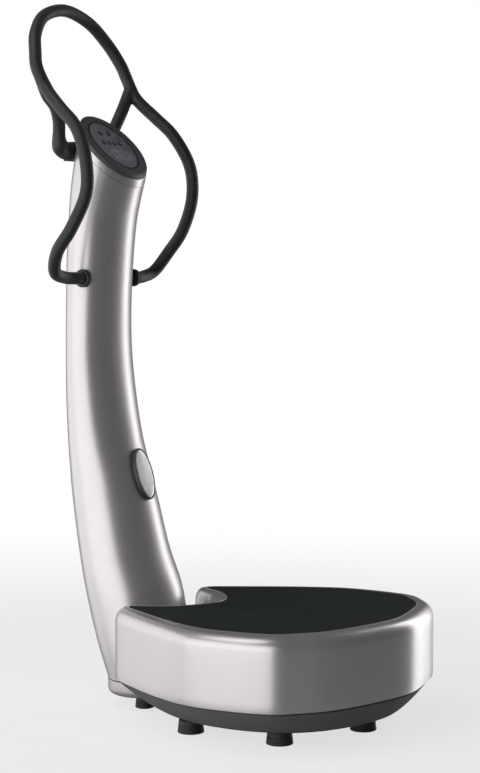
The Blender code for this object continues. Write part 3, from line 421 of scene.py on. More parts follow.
@dataclass(frozen=True)
class GrainedPlastic:
    """Moulded plastic with a leather-like grain."""

    name: str
    colour: Colour = (0.125, 0.128, 0.132)
    roughness: float = 0.50
    grain: float = 1.0
    coarseness: float = 620.0

    def build(self) -> Finish:
        """Build the material.

        Returns:
            The material.
        """
        graph = Graph(self.name)
        pebbles = graph.cells(self.coarseness, "SMOOTH_F1")
        fine = graph.noise(1500.0, 3.0)
        flow = graph.noise(14.0, 3.0)
        tone = pebbles * 0.5 + flow * 0.5
        graph.set(Base_Color=graph.tones(tone, shade(self.colour, 0.82), shade(self.colour, 1.22)))
        graph.set(Roughness=self.roughness + (flow - 0.5) * 0.12 + pebbles * 0.08)
        graph.bump(pebbles * 0.8 + fine * 0.2, 0.00018 * self.grain, 0.6)
        return graph.material


@dataclass(frozen=True)
class BareSteel:
    """Bare or plated steel that shows how it was worked."""

    name: str
    grade: Grade = Grade.ROLLED
    colour: Colour = (0.50, 0.50, 0.51)
    roughness: float = 0.34

    def build(self) -> Finish:
        """Build the material.

        Returns:
            The material.
        """
        graph = Graph(self.name)
        lines = graph.noise(24.0, 6.0, self.grade.value)
        stain = graph.noise(11.0, 5.0).ramp(0.50, 0.80)
        base = graph.tones(lines, shade(self.colour, 0.72), shade(self.colour, 1.20))
        graph.set(Base_Color=graph.tones(stain * 0.5, base, (0.26, 0.23, 0.20)))
        graph.set(Roughness=self.roughness + (lines - 0.5) * 0.22 + stain * 0.15)
        graph.set(Metallic=1.0 - stain * 0.35)
        graph.bump(lines, 0.00008, 0.5)
        return graph.material


@dataclass(frozen=True)
class CoatedSteel:
    """Thick powder coat over steel plate or a casting."""

    name: str
    colour: Colour = (0.030, 0.032, 0.035)
    sand: float = 260.0
    chips: float = 0.35

    def build(self) -> Finish:
        """Build the material.

        Returns:
            The material.
        """
        graph = Graph(self.name)
        peel = graph.noise(self.sand, 4.0)
        tone = graph.noise(8.0, 4.0)
        chip = graph.noise(60.0, 6.0).ramp(0.70, 0.74) * self.chips
        base = graph.tones(tone, shade(self.colour, 0.8), shade(self.colour, 1.5))
        graph.set(Base_Color=graph.tones(chip, base, (0.30, 0.29, 0.28)))
        graph.set(Roughness=0.52 + (peel - 0.5) * 0.3, Metallic=chip)
        graph.bump(peel, 0.00022, 0.6)
        return graph.material


@dataclass(frozen=True)
class SmokedPanel:
    """Smoked membrane with a fine dot screen and finger marks."""

    name: str
    colour: Colour = (0.190, 0.193, 0.225)
    roughness: float = 0.20
    coat: float = 0.8

    def build(self) -> Finish:
        """Build the material.

        Returns:
            The material.
        """
        graph = Graph(self.name)
        screen = graph.cells(1400.0)
        haze = graph.noise(22.0, 4.0)
        smear = graph.noise(34.0, 5.0, (1.0, 2.6, 1.0)).ramp(0.50, 0.78)
        tone = screen * 0.35 + haze * 0.65
        graph.set(Base_Color=graph.tones(tone, shade(self.colour, 0.75), shade(self.colour, 1.30)))
        graph.set(Roughness=self.roughness + smear * 0.16, Coat_Weight=self.coat - smear * 0.3)
        graph.set(Coat_Roughness=0.06)
        graph.bump(screen + haze, 0.00003, 0.25)
        return graph.material


@dataclass(frozen=True)
class CircuitBoard:
    """Green board with copper tracks under the mask and dark parts."""

    name: str = "circuit_board"

    def build(self) -> Finish:
        """Build the material.

        Returns:
            The material.
        """
        graph = Graph(self.name)
        across = (graph.axis("X") * 2400.0).wave()
        along = (graph.axis("Y") * 1700.0).wave()
        tracks = across.above(along).ramp(0.82, 0.92)
        mask = graph.noise(120.0, 4.0)
        base = graph.tones(mask, (0.010, 0.055, 0.028), (0.018, 0.100, 0.045))
        graph.set(Base_Color=graph.tones(tracks * 0.6, base, (0.10, 0.22, 0.08)))
        graph.set(Roughness=0.35 + mask * 0.2, Coat_Weight=0.3)
        graph.bump(tracks + mask * 0.2, 0.00005, 0.6)
        return graph.material


class Palette:
    """Every finish of the machine, built once."""

    def __init__(self) -> None:
        """Build the materials."""
        self.cover = MetallicPaint("cover_silver").build()
        self.column = MetallicPaint("column_silver").build()
        self.shoe = MetallicPaint("shoe_silver", (0.455, 0.432, 0.425), 0.42, 0.7, 0.15, 0.06).build()
        self.badge = MetallicPaint("badge_silver", (0.52, 0.52, 0.54), 0.30, 0.9, 0.5, 0.02).build()
        self.foam = HandleFoam().build()
        self.mat = TreadRubber().build()
        self.foot = MouldedRubber("foot_rubber").build()
        self.mount = MouldedRubber("isolator_rubber", (0.016, 0.015, 0.015), 0.2).build()
        self.fitting = MouldedRubber("handle_fitting", (0.016, 0.018, 0.020), 0.15, 0.46).build()
        self.button = MouldedRubber("button_rubber", (0.024, 0.025, 0.028), 0.1, 0.5).build()
        # Near-black ring at the lens edge: painted shadow of the lens recess, not a real part.
        self.shadow_ring = MouldedRubber("lens_gasket", (0.008, 0.008, 0.009), 0.1, 0.4).build()
        self.pan = GrainedPlastic("pan_plastic").build()
        self.rim = GrainedPlastic("console_rim", (0.084, 0.090, 0.098), 0.46, 1.5, 520.0).build()
        self.badge_rim = GrainedPlastic("badge_rim", (0.040, 0.042, 0.046), 0.35, 0.3).build()
        self.mains = GrainedPlastic("mains_plastic", (0.020, 0.021, 0.023), 0.42, 0.7).build()
        self.lens = SmokedPanel("console_lens").build()
        self.display = SmokedPanel("display_glass", (0.300, 0.310, 0.330), 0.14, 1.0).build()
        self.ink = GrainedPlastic("display_ink", (0.045, 0.048, 0.055), 0.45, 0.2).build()
        self.mark = GrainedPlastic("button_mark", (0.42, 0.43, 0.45), 0.5, 0.2).build()
        self.board = CircuitBoard().build()
        self.rolled = BareSteel("frame_steel").build()
        self.tube = BareSteel("handle_steel", Grade.DRAWN, (0.56, 0.56, 0.57), 0.30).build()
        self.turned = BareSteel("rotor_steel", Grade.TURNED, (0.52, 0.51, 0.50), 0.26).build()
        self.screw = BareSteel("screw_steel", Grade.TURNED, (0.30, 0.30, 0.31), 0.32).build()
        self.chassis = CoatedSteel("chassis_coat").build()
        self.casting = CoatedSteel("motor_casting", (0.075, 0.080, 0.086), 170.0, 0.2).build()
        self.controller = CoatedSteel("controller_case", (0.16, 0.16, 0.165), 420.0, 0.15).build()
        LOG.info("finishes: %d materials", len(vars(self)))


# --- Curves and meshes --------------------------------------------------------
def cubic(four: list[Row], t: float) -> Row:
    """Find a point of the smooth curve between the middle two of four points.

    Args:
        four: The points, in order.
        t: How far along the span it is, from 0 to 1.

    Returns:
        The point.
    """

    def one(a: float, b: float, c: float, d: float) -> float:
        """Return one coordinate of the point."""
        square, cube = 2.0 * a - 5.0 * b + 4.0 * c - d, 3.0 * b - a - 3.0 * c + d
        return 0.5 * (2.0 * b + (c - a) * t + square * t * t + cube * t * t * t)

    return tuple(one(*values) for values in zip(*four))


def smooth_path(points: list[Row], steps: int) -> list[Row]:
    """Draw a smooth open path through points.

    Args:
        points: The points, in order.
        steps: How many steps each span has.

    Returns:
        The points of the path.
    """
    first = tuple(2 * a - b for a, b in zip(points[0], points[1]))
    last = tuple(2 * a - b for a, b in zip(points[-1], points[-2]))
    ends = [first, *points, last]
    path = [
        cubic(ends[i : i + 4], k / steps)
        for i in range(len(points) - 1)
        for k in range(steps)
    ]
    return [*path, tuple(points[-1])]


def smooth_loop(half: list[Row], steps: int) -> list[Row]:
    """Mirror a half outline over X = 0 and draw the smooth closed loop.

    Args:
        half: The outline's points with X of 0 or more.
        steps: How many steps each span has.

    Returns:
        The points of the loop.
    """
    ring = [*half, *((-row[0], *row[1:]) for row in reversed(half[1:-1]))]
    count = len(ring)
    return [
        cubic([ring[(i + k) % count] for k in (-1, 0, 1, 2)], t / steps)
        for i in range(count)
        for t in range(steps)
    ]


def flipped(points: list[Row]) -> list[Row]:
    """Return the same points on the other side of X = 0."""
    return [(-point[0], *point[1:]) for point in points]


def oval(half_x: float, half_y: float, sides: int) -> list[Flat]:
    """Return the loop of an oval round the origin, anticlockwise."""
    turns = [2.0 * math.pi * k / sides for k in range(sides)]
    return [(half_x * math.cos(turn), half_y * math.sin(turn)) for turn in turns]


def round_box(half_x: float, half_y: float, radius: float, steps: int = 6) -> list[Flat]:
    """Draw a rectangle with round corners, round the origin.

    Args:
        half_x: Half of its width.
        half_y: Half of its height.
        radius: The radius of its corners.
        steps: How many steps each corner has.

    Returns:
        The loop, anticlockwise.
    """
    loop = []
    for sign_x, sign_y, start in ((1, 1, 0), (-1, 1, 90), (-1, -1, 180), (1, -1, 270)):
        for k in range(steps + 1):
            turn = math.radians(start + 90.0 * k / steps)
            x = sign_x * (half_x - radius) + radius * math.cos(turn)
            loop.append((x, sign_y * (half_y - radius) + radius * math.sin(turn)))
    return loop


def placed(name: str, data: bpy.types.ID | None) -> Piece:
    """Put a new object in the scene.

    Args:
        name: Its name.
        data: The mesh, curve, light or camera that it holds.

    Returns:
        The object.
    """
    obj = bpy.data.objects.new(name, data)
    bpy.context.scene.collection.objects.link(obj)
    return obj


def turned_frame(place: Row | Vector, degrees: float, axis: str) -> Matrix:
    """Return the frame at a place, turned about one of its axes."""
    return Matrix.Translation(place) @ Matrix.Rotation(math.radians(degrees), 4, axis)


def settle(obj: Piece) -> Piece:
    """Turn what the object's modifiers make into its plain mesh.

    Args:
        obj: A mesh or a curve.

    Returns:
        The object, or the mesh object that takes a curve's place.
    """
    bpy.context.view_layer.update()
    graph = bpy.context.evaluated_depsgraph_get()
    mesh = bpy.data.meshes.new_from_object(obj.evaluated_get(graph), depsgraph=graph)
    if obj.type == "MESH":
        old = obj.data
        obj.modifiers.clear()
        obj.data = mesh
        bpy.data.meshes.remove(old)
        return obj
    name = obj.name
    bpy.data.objects.remove(obj, do_unlink=True)
    return placed(name, mesh)


class Form:
    """A mesh in the making."""

    def __init__(self) -> None:
        """Start empty."""
        self.shape = bmesh.new()

    def loft(
        self, rings: list[list[Row]], closed: bool = True,
        caps: tuple[bool, bool] = (False, False), joined: bool = False,
    ) -> "Form":
        """Skin rings of equal length with quads.

        Args:
            rings: The rings of points, in order.
            closed: Whether each ring closes on itself.
            caps: Whether the first and the last ring are filled.
            joined: Whether the last ring joins the first.

        Returns:
            This form.
        """
        rows = [[self.shape.verts.new(point) for point in ring] for ring in rings]
        count = len(rows[0])
        spans = count if closed else count - 1
        order = [*rows, rows[0]] if joined else rows
        for low, high in zip(order, order[1:]):
            for i in range(spans):
                j = (i + 1) % count
                self.shape.faces.new((low[i], low[j], high[j], high[i]))
        if caps[0]:
            self.shape.faces.new(list(reversed(rows[0])))
        if caps[1]:
            self.shape.faces.new(rows[-1])
        return self

    def turned(self, profile: list[Flat], sides: int, spot: Matrix | None = None) -> "Form":
        """Spin (radius, height) pairs about Z into a closed body.

        Args:
            profile: The outline; a radius of 0 closes on the axis.
            sides: The number of steps round.
            spot: Where the body goes.

        Returns:
            This form.
        """
        place = spot or Matrix.Identity(4)
        rows = []
        for radius, height in profile:
            if radius == 0.0:
                rows.append([self.shape.verts.new(place @ Vector((0, 0, height)))] * sides)
                continue
            ring = oval(radius, radius, sides)
            rows.append([self.shape.verts.new(place @ Vector((*p, height))) for p in ring])
        hollow = profile[0][0] != 0.0
        for low, high in zip(rows, [*rows[1:], rows[0]] if hollow else rows[1:]):
            for i in range(sides):
                j = (i + 1) % sides
                corners = dict.fromkeys((low[i], low[j], high[j], high[i]))
                if len(corners) > 2:
                    self.shape.faces.new(list(corners))
        return self

    def prism(self, loop: list[Flat], low: float, high: float, spot: Matrix) -> "Form":
        """Raise a flat loop into a closed prism."""
        rings = [[tuple(spot @ Vector((*p, z))) for p in loop] for z in (low, high)]
        return self.loft(rings, caps=(True, True))

    def block(self, low: Vector, high: Vector) -> "Form":
        """Add a plain box.

        Args:
            low: Its lowest corner.
            high: Its highest corner.

        Returns:
            This form.
        """
        spot = Matrix.Translation((low + high) / 2) @ Matrix.Diagonal((*(high - low), 1.0))
        bmesh.ops.create_cube(self.shape, size=1.0, matrix=spot)
        return self

    def cut(self, point: Vector, normal: Vector) -> "Form":
        """Remove what lies past a plane.

        Args:
            point: A point of the plane.
            normal: The way to the side that goes.

        Returns:
            This form.
        """
        parts = [*self.shape.verts, *self.shape.edges, *self.shape.faces]
        bmesh.ops.bisect_plane(
            self.shape, geom=parts, plane_co=point, plane_no=normal, clear_outer=True
        )
        return self

    def outwards(self) -> "Form":
        """Merge doubles and turn every face outwards.

        Returns:
            This form.
        """
        bmesh.ops.remove_doubles(self.shape, verts=self.shape.verts, dist=1e-6)
        bmesh.ops.recalc_face_normals(self.shape, faces=self.shape.faces)
        return self

    def piece(self, name: str, material: Finish, crease: float = 35.0) -> Piece:
        """Finish the mesh as an object.

        Args:
            name: The piece's name.
            material: Its finish.
            crease: The angle in degrees past which an edge stays sharp.

        Returns:
            The new object.
        """
        mesh = bpy.data.meshes.new(name)
        self.shape.to_mesh(mesh)
        self.shape.free()
        mesh.materials.append(material)
        return soften(placed(name, mesh), crease)


def soften(obj: Piece, crease: float = 35.0) -> Piece:
    """Shade the mesh smooth, apart from its real edges.

    Args:
        obj: The piece.
        crease: The angle in degrees past which an edge stays sharp.

    Returns:
        The piece.
    """
    obj.data.shade_smooth()
    obj.data.set_sharp_from_angle(angle=math.radians(crease))
    return obj


def faced_out(obj: Piece) -> Piece:
    """Merge the doubles of a finished mesh and turn its faces outwards.

    Args:
        obj: The piece.

    Returns:
        The piece.
    """
    form = Form()
    form.shape.from_mesh(obj.data)
    form.outwards().shape.to_mesh(obj.data)
    form.shape.free()
    return obj


def rounded(obj: Piece, width: float, segments: int = 3) -> Piece:
    """Round the sharp edges of a piece, and make that its mesh.

    Args:
        obj: The piece.
        width: How far from the edge the rounding starts.
        segments: How many faces it has.

    Returns:
        The piece.
    """
    bevel = obj.modifiers.new("Rounding", "BEVEL")
    bevel.width = width
    bevel.segments = segments
    bevel.limit_method = "ANGLE"
    bevel.angle_limit = math.radians(38.0)
    bevel.harden_normals = False
    return soften(settle(obj))


def walled(obj: Piece, wall: float) -> Piece:
    """Give an open skin its wall, grown inwards, and make that its mesh.

    Args:
        obj: The skin.
        wall: The wall's thickness.

    Returns:
        The piece.
    """
    solid = obj.modifiers.new("Wall", "SOLIDIFY")
    solid.thickness = wall
    solid.offset = -1.0
    return soften(settle(obj))


def carved(obj: Piece, cutter: Piece) -> Piece:
    """Cut a helper's shape out of a piece, and drop the helper.

    Args:
        obj: The piece.
        cutter: The helper.

    Returns:
        The piece.
    """
    cut = obj.modifiers.new("Opening", "BOOLEAN")
    cut.operation = "DIFFERENCE"
    cut.object = cutter
    cut.solver = "EXACT"
    settle(obj)
    bpy.data.objects.remove(cutter, do_unlink=True)
    return soften(obj)


def plate_of(
    name: str, loops: list[list[Flat]], depth: Flat, spot: Matrix, material: Finish, edge: float
) -> Piece:
    """Build a flat plate from outlines, the first its edge and the rest holes.

    Args:
        name: The piece's name.
        loops: The outlines in the plate's plane.
        depth: The lowest and highest point across the plate.
        spot: The plate's frame.
        material: Its finish.
        edge: The radius of its rounded edges.

    Returns:
        The plate.
    """
    curve = bpy.data.curves.new(name, "CURVE")
    curve.dimensions = "2D"
    curve.fill_mode = "BOTH"
    curve.extrude = (depth[1] - depth[0]) / 2 - edge
    curve.bevel_depth = edge
    curve.bevel_resolution = 2
    curve.offset = -edge
    for loop in loops:
        spline = curve.splines.new("POLY")
        spline.points.add(len(loop) - 1)
        for point, (x, y) in zip(spline.points, loop):
            point.co = (x, y, 0.0, 1.0)
        spline.use_cyclic_u = True
    obj = settle(placed(name, curve))
    obj.data.transform(spot @ Matrix.Translation((0.0, 0.0, sum(depth) / 2)))
    obj.data.materials.clear()
    obj.data.materials.append(material)
    return soften(faced_out(obj))


# --- Geometry Nodes -----------------------------------------------------------
class NodeTool:
    """A Geometry Nodes tree with named inputs."""

    def __init__(self, name: str, inputs: list[tuple[str, str]]) -> None:
        """Start a tree.

        Args:
            name: The tree's name.
            inputs: The name and socket type of each input after the geometry.
        """
        self.tree = bpy.data.node_groups.new(name, "GeometryNodeTree")
        face = self.tree.interface
        face.new_socket(name="Geometry", in_out="INPUT", socket_type="NodeSocketGeometry")
        for label, kind in inputs:
            face.new_socket(name=label, in_out="INPUT", socket_type=kind)
        face.new_socket(name="Geometry", in_out="OUTPUT", socket_type="NodeSocketGeometry")
        self.given = self.tree.nodes.new("NodeGroupInput")

    def add(
        self, kind: str, settings: dict[str, object] | None = None, **inputs: object
    ) -> bpy.types.Node:
        """Add a node.

        Args:
            kind: The node's type name.
            settings: The node's own properties, which are set first.
            inputs: Values or outputs by input name, with _ for a space.

        Returns:
            The node.
        """
        node = self.tree.nodes.new(kind)
        for key, value in (settings or {}).items():
            setattr(node, key, value)
        for key, value in inputs.items():
            name = key.replace("_", " ")
            port = next(p for p in node.inputs if p.enabled and p.name == name)
            if isinstance(value, bpy.types.NodeSocket):
                self.tree.links.new(value, port)
            else:
                port.default_value = value
        return node

    def attribute(self, name: str, kind: str) -> bpy.types.NodeSocket:
        """Return a named attribute's value."""
        node = self.add("GeometryNodeInputNamedAttribute", {"data_type": kind}, Name=name)
        return next(port for port in node.outputs if port.enabled)

    def end(self, geometry: bpy.types.NodeSocket) -> None:
        """Close the tree with Realize Instances and Set Material.

        Args:
            geometry: The output that holds the finished shape.
        """
        real = self.add("GeometryNodeRealizeInstances", Geometry=geometry).outputs[0]
        finish = self.given.outputs["Material"]
        done = self.add("GeometryNodeSetMaterial", Geometry=real, Material=finish)
        self.add("NodeGroupOutput", Geometry=done.outputs[0])

    def run(self, obj: Piece, **values: object) -> Piece:
        """Run the tree on an object and keep the result as its plain mesh.

        Args:
            obj: The object.
            values: The tree's inputs by name.

        Returns:
            The finished mesh object.
        """
        modifier = obj.modifiers.new("Nodes", "NODES")
        modifier.node_group = self.tree
        for item in self.tree.interface.items_tree:
            if item.in_out == "INPUT" and item.name in values:
                modifier[item.identifier] = values[item.name]
        return settle(obj)


@dataclass
class Spot:
    """Where one repeated shape goes: its place, its +Z, its +X and its size."""

    place: Row
    facing: Row = (0.0, 0.0, 1.0)
    along: Row = (1.0, 0.0, 0.0)
    size: Row = (1.0, 1.0, 1.0)


class Repeater(NodeTool):
    """Sets one shape on many spots."""

    def __init__(self) -> None:
        """Build the tree."""
        inputs = [
            ("Shape", "NodeSocketObject"),
            ("Turn", "NodeSocketFloat"),
            ("Seed", "NodeSocketInt"),
            ("Material", "NodeSocketMaterial"),
        ]
        super().__init__("Repeat on spots", inputs)
        given = self.given.outputs
        shape = self.add("GeometryNodeObjectInfo", Object=given["Shape"])
        aim = self.add(
            "FunctionNodeAxesToRotation",
            {"primary_axis": "Z", "secondary_axis": "X"},
            Primary_Axis=self.attribute("facing", "FLOAT_VECTOR"),
            Secondary_Axis=self.attribute("along", "FLOAT_VECTOR"),
        )
        chance = self.add("FunctionNodeRandomValue", Max=given["Turn"], Seed=given["Seed"])
        angle = next(port for port in chance.outputs if port.enabled)
        spin = self.add("FunctionNodeAxisAngleToRotation", Axis=(0.0, 0.0, 1.0), Angle=angle)
        both = self.add("FunctionNodeRotateRotation", {"rotation_space": "LOCAL"},
                        Rotation=aim.outputs[0], Rotate_By=spin.outputs[0])
        many = self.add(
            "GeometryNodeInstanceOnPoints",
            Points=given["Geometry"],
            Instance=shape.outputs["Geometry"],
            Rotation=both.outputs[0],
            Scale=self.attribute("size", "FLOAT_VECTOR"),
        )
        self.end(many.outputs[0])

    def many(
        self, name: str, spots: list[Spot], shape: Piece, material: Finish, turn: float = 0.0
    ) -> Piece:
        """Build one piece from a shape on every spot.

        Args:
            name: The piece's name.
            spots: Where the copies go.
            shape: The shape, which is removed afterwards.
            material: The finish.
            turn: The most that a copy turns about its own axis, in radians.

        Returns:
            The piece.
        """
        mesh = bpy.data.meshes.new(name)
        mesh.from_pydata([spot.place for spot in spots], [], [])
        for key in ("facing", "along", "size"):
            layer = mesh.attributes.new(key, "FLOAT_VECTOR", "POINT")
            layer.data.foreach_set("vector", [v for spot in spots for v in getattr(spot, key)])
        made = self.run(placed(name, mesh), Shape=shape, Turn=turn, Seed=SEED, Material=material)
        bpy.data.objects.remove(shape, do_unlink=True)
        return soften(made)


class Sweeper(NodeTool):
    """Sweeps a round section of changing radius along a path."""

    def __init__(self) -> None:
        """Build the tree."""
        inputs = [("Sides", "NodeSocketInt"), ("Material", "NodeSocketMaterial")]
        super().__init__("Round sweep", inputs)
        given = self.given.outputs
        path = self.add("GeometryNodeMeshToCurve", Mesh=given["Geometry"])
        ring = self.add("GeometryNodeCurvePrimitiveCircle", Resolution=given["Sides"], Radius=1.0)
        tube = self.add(
            "GeometryNodeCurveToMesh",
            Curve=path.outputs[0],
            Profile_Curve=ring.outputs[0],
            Scale=self.attribute("girth", "FLOAT"),
            Fill_Caps=True,
        )
        weld = self.add("GeometryNodeMergeByDistance", Geometry=tube.outputs[0], Distance=1e-6)
        self.end(weld.outputs[0])

    def tube(
        self, name: str, paths: list[list[Row]], material: Finish, sides: int = 40
    ) -> Piece:
        """Build round tubes along paths.

        Args:
            name: The piece's name.
            paths: Paths of (x, y, z, radius) points.
            material: The finish.
            sides: The number of sides of the section.

        Returns:
            One piece that holds every tube.
        """
        points, edges = [], []
        for path in paths:
            start = len(points)
            points.extend(path)
            edges.extend((i, i + 1) for i in range(start, len(points) - 1))
        mesh = bpy.data.meshes.new(name)
        mesh.from_pydata([point[:3] for point in points], edges, [])
        layer = mesh.attributes.new("girth", "FLOAT", "POINT")
        layer.data.foreach_set("value", [point[3] for point in points])
        made = self.run(placed(name, mesh), Sides=sides, Material=material)
        return soften(faced_out(made), 50.0)


class Kit:
    def __init__(self) -> None:
        """Build the finishes and the trees."""
        self.look = Palette()
        self.repeat = Repeater()
        self.sweep = Sweeper()

    @staticmethod
    def mount(obj: Piece, body: str, slot: str, nodes: tuple[str, ...] = ()) -> Piece:
        """Put a finished piece on its body and report it.

        Args:
            obj: The piece.
            body: The body that it rides on.
            slot: A material slot's name; not used.
            nodes: The nodes that it stands for.

        Returns:
            The piece.
        """
        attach(obj, body)
        if nodes:
            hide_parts(*nodes)
        LOG.info("%s: %d faces on %s", obj.name, len(obj.data.polygons), body)
        return obj

    @staticmethod
    def dress(names: tuple[str, ...], material: Finish) -> None:
        """Give carried-over nodes a finish.

        Args:
            names: The nodes.
            material: The finish.
        """
        for name in names:
            for spot in frame["nodes"][name].material_slots:
                spot.material = material
            LOG.info("%s: dressed in %s", name, material.name)

    def screws(self, name: str, spots: list[Spot], radius: float) -> Piece:
        """Build cross-slot screw heads, each turned by chance.

        Args:
            name: The piece's name.
            spots: Where the heads go.
            radius: The radius of a head.

        Returns:
            One piece that holds every head.
        """
        bulge = [(0.0, 0.30), (0.45, 0.36), (0.80, 0.26), (1.0, 0.08), (1.0, -0.10), (0.0, -0.10)]
        dome = Form().turned([(r * radius, z * radius) for r, z in bulge], 20)
        head = dome.outwards().piece(name + "_head", self.look.screw)
        for turn in (0.0, math.pi / 2):
            loop = round_box(radius * 0.55, radius * 0.10, radius * 0.04, 2)
            bar = Form().prism(loop, radius * 0.14, radius, Matrix.Rotation(turn, 4, "Z"))
            carved(head, bar.outwards().piece(name + "_slot", self.look.screw))
        return self.repeat.many(name, spots, head, self.look.screw, math.pi)


def middle_and_half(name: str) -> tuple[Vector, Vector]:
    """Return the middle of a node's box and half of its size."""
    low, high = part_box(name)
    return (low + high) / 2, (high - low) / 2


def middle(name: str) -> Vector:
    """Return the middle of a node's box."""
    return middle_and_half(name)[0]


# --- Plate --------------------------------------------------------------------
@dataclass
class Outline:
    """The heart-shaped outline of the cover, fitted to the node's box."""

    steps: int = 12
    rows: tuple[Row, ...] = (
        (0.000, 0.798, 0.0320),
        (0.131, 0.821, 0.0320),
        (0.248, 0.875, 0.0300),
        (0.315, 0.930, 0.0265),
        (0.376, 0.981, 0.0240),
        (0.452, 1.000, 0.0250),
        (0.548, 0.982, 0.0300),
        (0.662, 0.894, 0.0350),
        (0.860, 0.707, 0.0390),
        (0.983, 0.539, 0.0410),
        (0.995, 0.379, 0.0420),
        (0.945, 0.236, 0.0420),
        (0.825, 0.160, 0.0400),
        (0.650, 0.090, 0.0370),
        (0.367, 0.036, 0.0365),
        (0.000, 0.000, 0.0370),
    )
    floor_rows: tuple[Row, ...] = (
        (0.000, 0.812),
        (0.140, 0.811),
        (0.280, 0.808),
        (0.370, 0.800),
        (0.440, 0.785),
        (0.500, 0.765),
        (0.560, 0.735),
        (0.630, 0.680),
        (0.690, 0.590),
        (0.714, 0.480),
        (0.700, 0.370),
        (0.640, 0.280),
        (0.560, 0.220),
        (0.440, 0.170),
        (0.240, 0.125),
        (0.000, 0.105),
    )

    def __post_init__(self) -> None:
        """Fit the loops to the cover's box."""
        low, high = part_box("plate_cover")
        self.half = high.x
        self.front = low.y
        self.length = high.y - low.y
        raw = smooth_loop(list(self.rows), self.steps)
        widest = max(row[0] for row in raw)
        first, last = min(row[1] for row in raw), max(row[1] for row in raw)
        self.loop = [
            (x / widest * self.half, self.front + (y - first) / (last - first) * self.length, b)
            for x, y, b in raw
        ]
        self.floor = [
            (x * self.half, self.front + y * self.length)
            for x, y in smooth_loop(list(self.floor_rows), self.steps)
        ]

    def inset(self, share: float, extra: float = 0.0) -> list[Flat]:
        """Return the loop moved inwards.

        Args:
            share: How much of the border's width it moves at each point.
            extra: A further distance, the same all round.

        Returns:
            The points of the moved loop.
        """
        count, reach = len(self.loop), max(1, self.steps // 3)
        moved = []
        for i, (x, y, border) in enumerate(self.loop):
            before = self.loop[(i - reach) % count]
            after = self.loop[(i + reach) % count]
            along = Vector((after[0] - before[0], after[1] - before[1])).normalized()
            step = border * share + extra
            moved.append((x + along.y * step, y - along.x * step))
        return moved

    def level(self, z: float, share: float = 0.0, extra: float = 0.0) -> list[Row]:
        """Return the inset loop at a height, anticlockwise from above."""
        return [(x, y, z) for x, y in reversed(self.inset(share, extra))]


@dataclass
class Cover:
    """The silver cover that moves with the plate."""

    kit: Kit
    outline: Outline
    shoulder: float = 0.0295
    shoulder_share: float = 0.70
    wall: float = 0.0030
    bead: float = 0.0009

    def rings(self) -> list[list[Row]]:
        """Draw the section's rings, from the well's underside to its floor.

        Returns:
            The rings, in order.
        """
        low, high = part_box("plate_cover")
        bottom, top = low.z, high.z
        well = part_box("mat")[0].z - GAP
        base = top - self.shoulder
        level = self.outline.level
        rings = [level(well - self.wall, 1.0, 0.006), level(well - self.wall, 1.0, -self.wall)]
        rings.append(level(top - self.wall, 1.0, -self.wall - 0.002))
        for degrees in (80, 60, 40, 20, 0):
            turn = math.radians(degrees)
            share = self.shoulder_share * (1.0 - math.cos(turn))
            z = base + (self.shoulder - self.wall) * math.sin(turn)
            rings.append(level(z, share, self.wall))
        rings.append(level(bottom + 0.004, 0.0, self.wall))
        for degrees in range(0, 181, 30):
            turn = math.radians(degrees)
            radius = self.wall / 2
            z = bottom + radius - radius * math.sin(turn)
            rings.append(level(z, 0.0, radius + radius * math.cos(turn)))
        rings.extend(level(bottom + (base - bottom) * k / 6, 0.0) for k in range(1, 6))
        for degrees in range(0, 91, 6):
            turn = math.radians(degrees)
            share = self.shoulder_share * (1.0 - math.cos(turn))
            rings.append(level(base + self.shoulder * math.sin(turn), share))
        rings.append(level(top - 0.0001, 0.80))
        rings.append(level(top - 0.0004, 0.885))
        for drop, share in ((0.0002, 0.91), (-self.bead, 0.94), (-self.bead, 0.965), (0.0, 0.99)):
            rings.append(level(top - drop, share))
        rings.append(level(top - 0.0015, 1.0))
        rings.append(level(well, 1.0, GAP))
        rings.append(level(well, 1.0, 0.006))
        return rings

    def build(self) -> None:
        """Build the cover and put it on the plate."""
        form = Form().loft(self.rings(), caps=(True, True))
        obj = form.piece("cover_shell", self.kit.look.cover, 50.0)
        self.kit.mount(obj, "plate", "cover_silver", ("plate_cover",))


@dataclass
class Mat:
    """The rubber mat in the cover's well."""

    kit: Kit
    outline: Outline
    edge: float = 0.0012

    def build(self) -> None:
        """Build the mat with its rounded edge."""
        low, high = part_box("mat")
        level = self.outline.level
        clear = 3 * GAP
        rings = [level(low.z, 1.0, clear), level(high.z - self.edge, 1.0, clear)]
        for degrees in (22.5, 45.0, 67.5, 90.0):
            turn = math.radians(degrees)
            z = high.z - self.edge * (1.0 - math.sin(turn))
            rings.append(level(z, 1.0, clear + self.edge * (1.0 - math.cos(turn))))
        rings.append(level(high.z, 1.0, clear + 0.006))
        form = Form().loft(rings, caps=(True, True))
        obj = form.piece("mat_sheet", self.kit.look.mat, 50.0)
        self.kit.mount(obj, "plate", "mat_rubber", ("mat",))


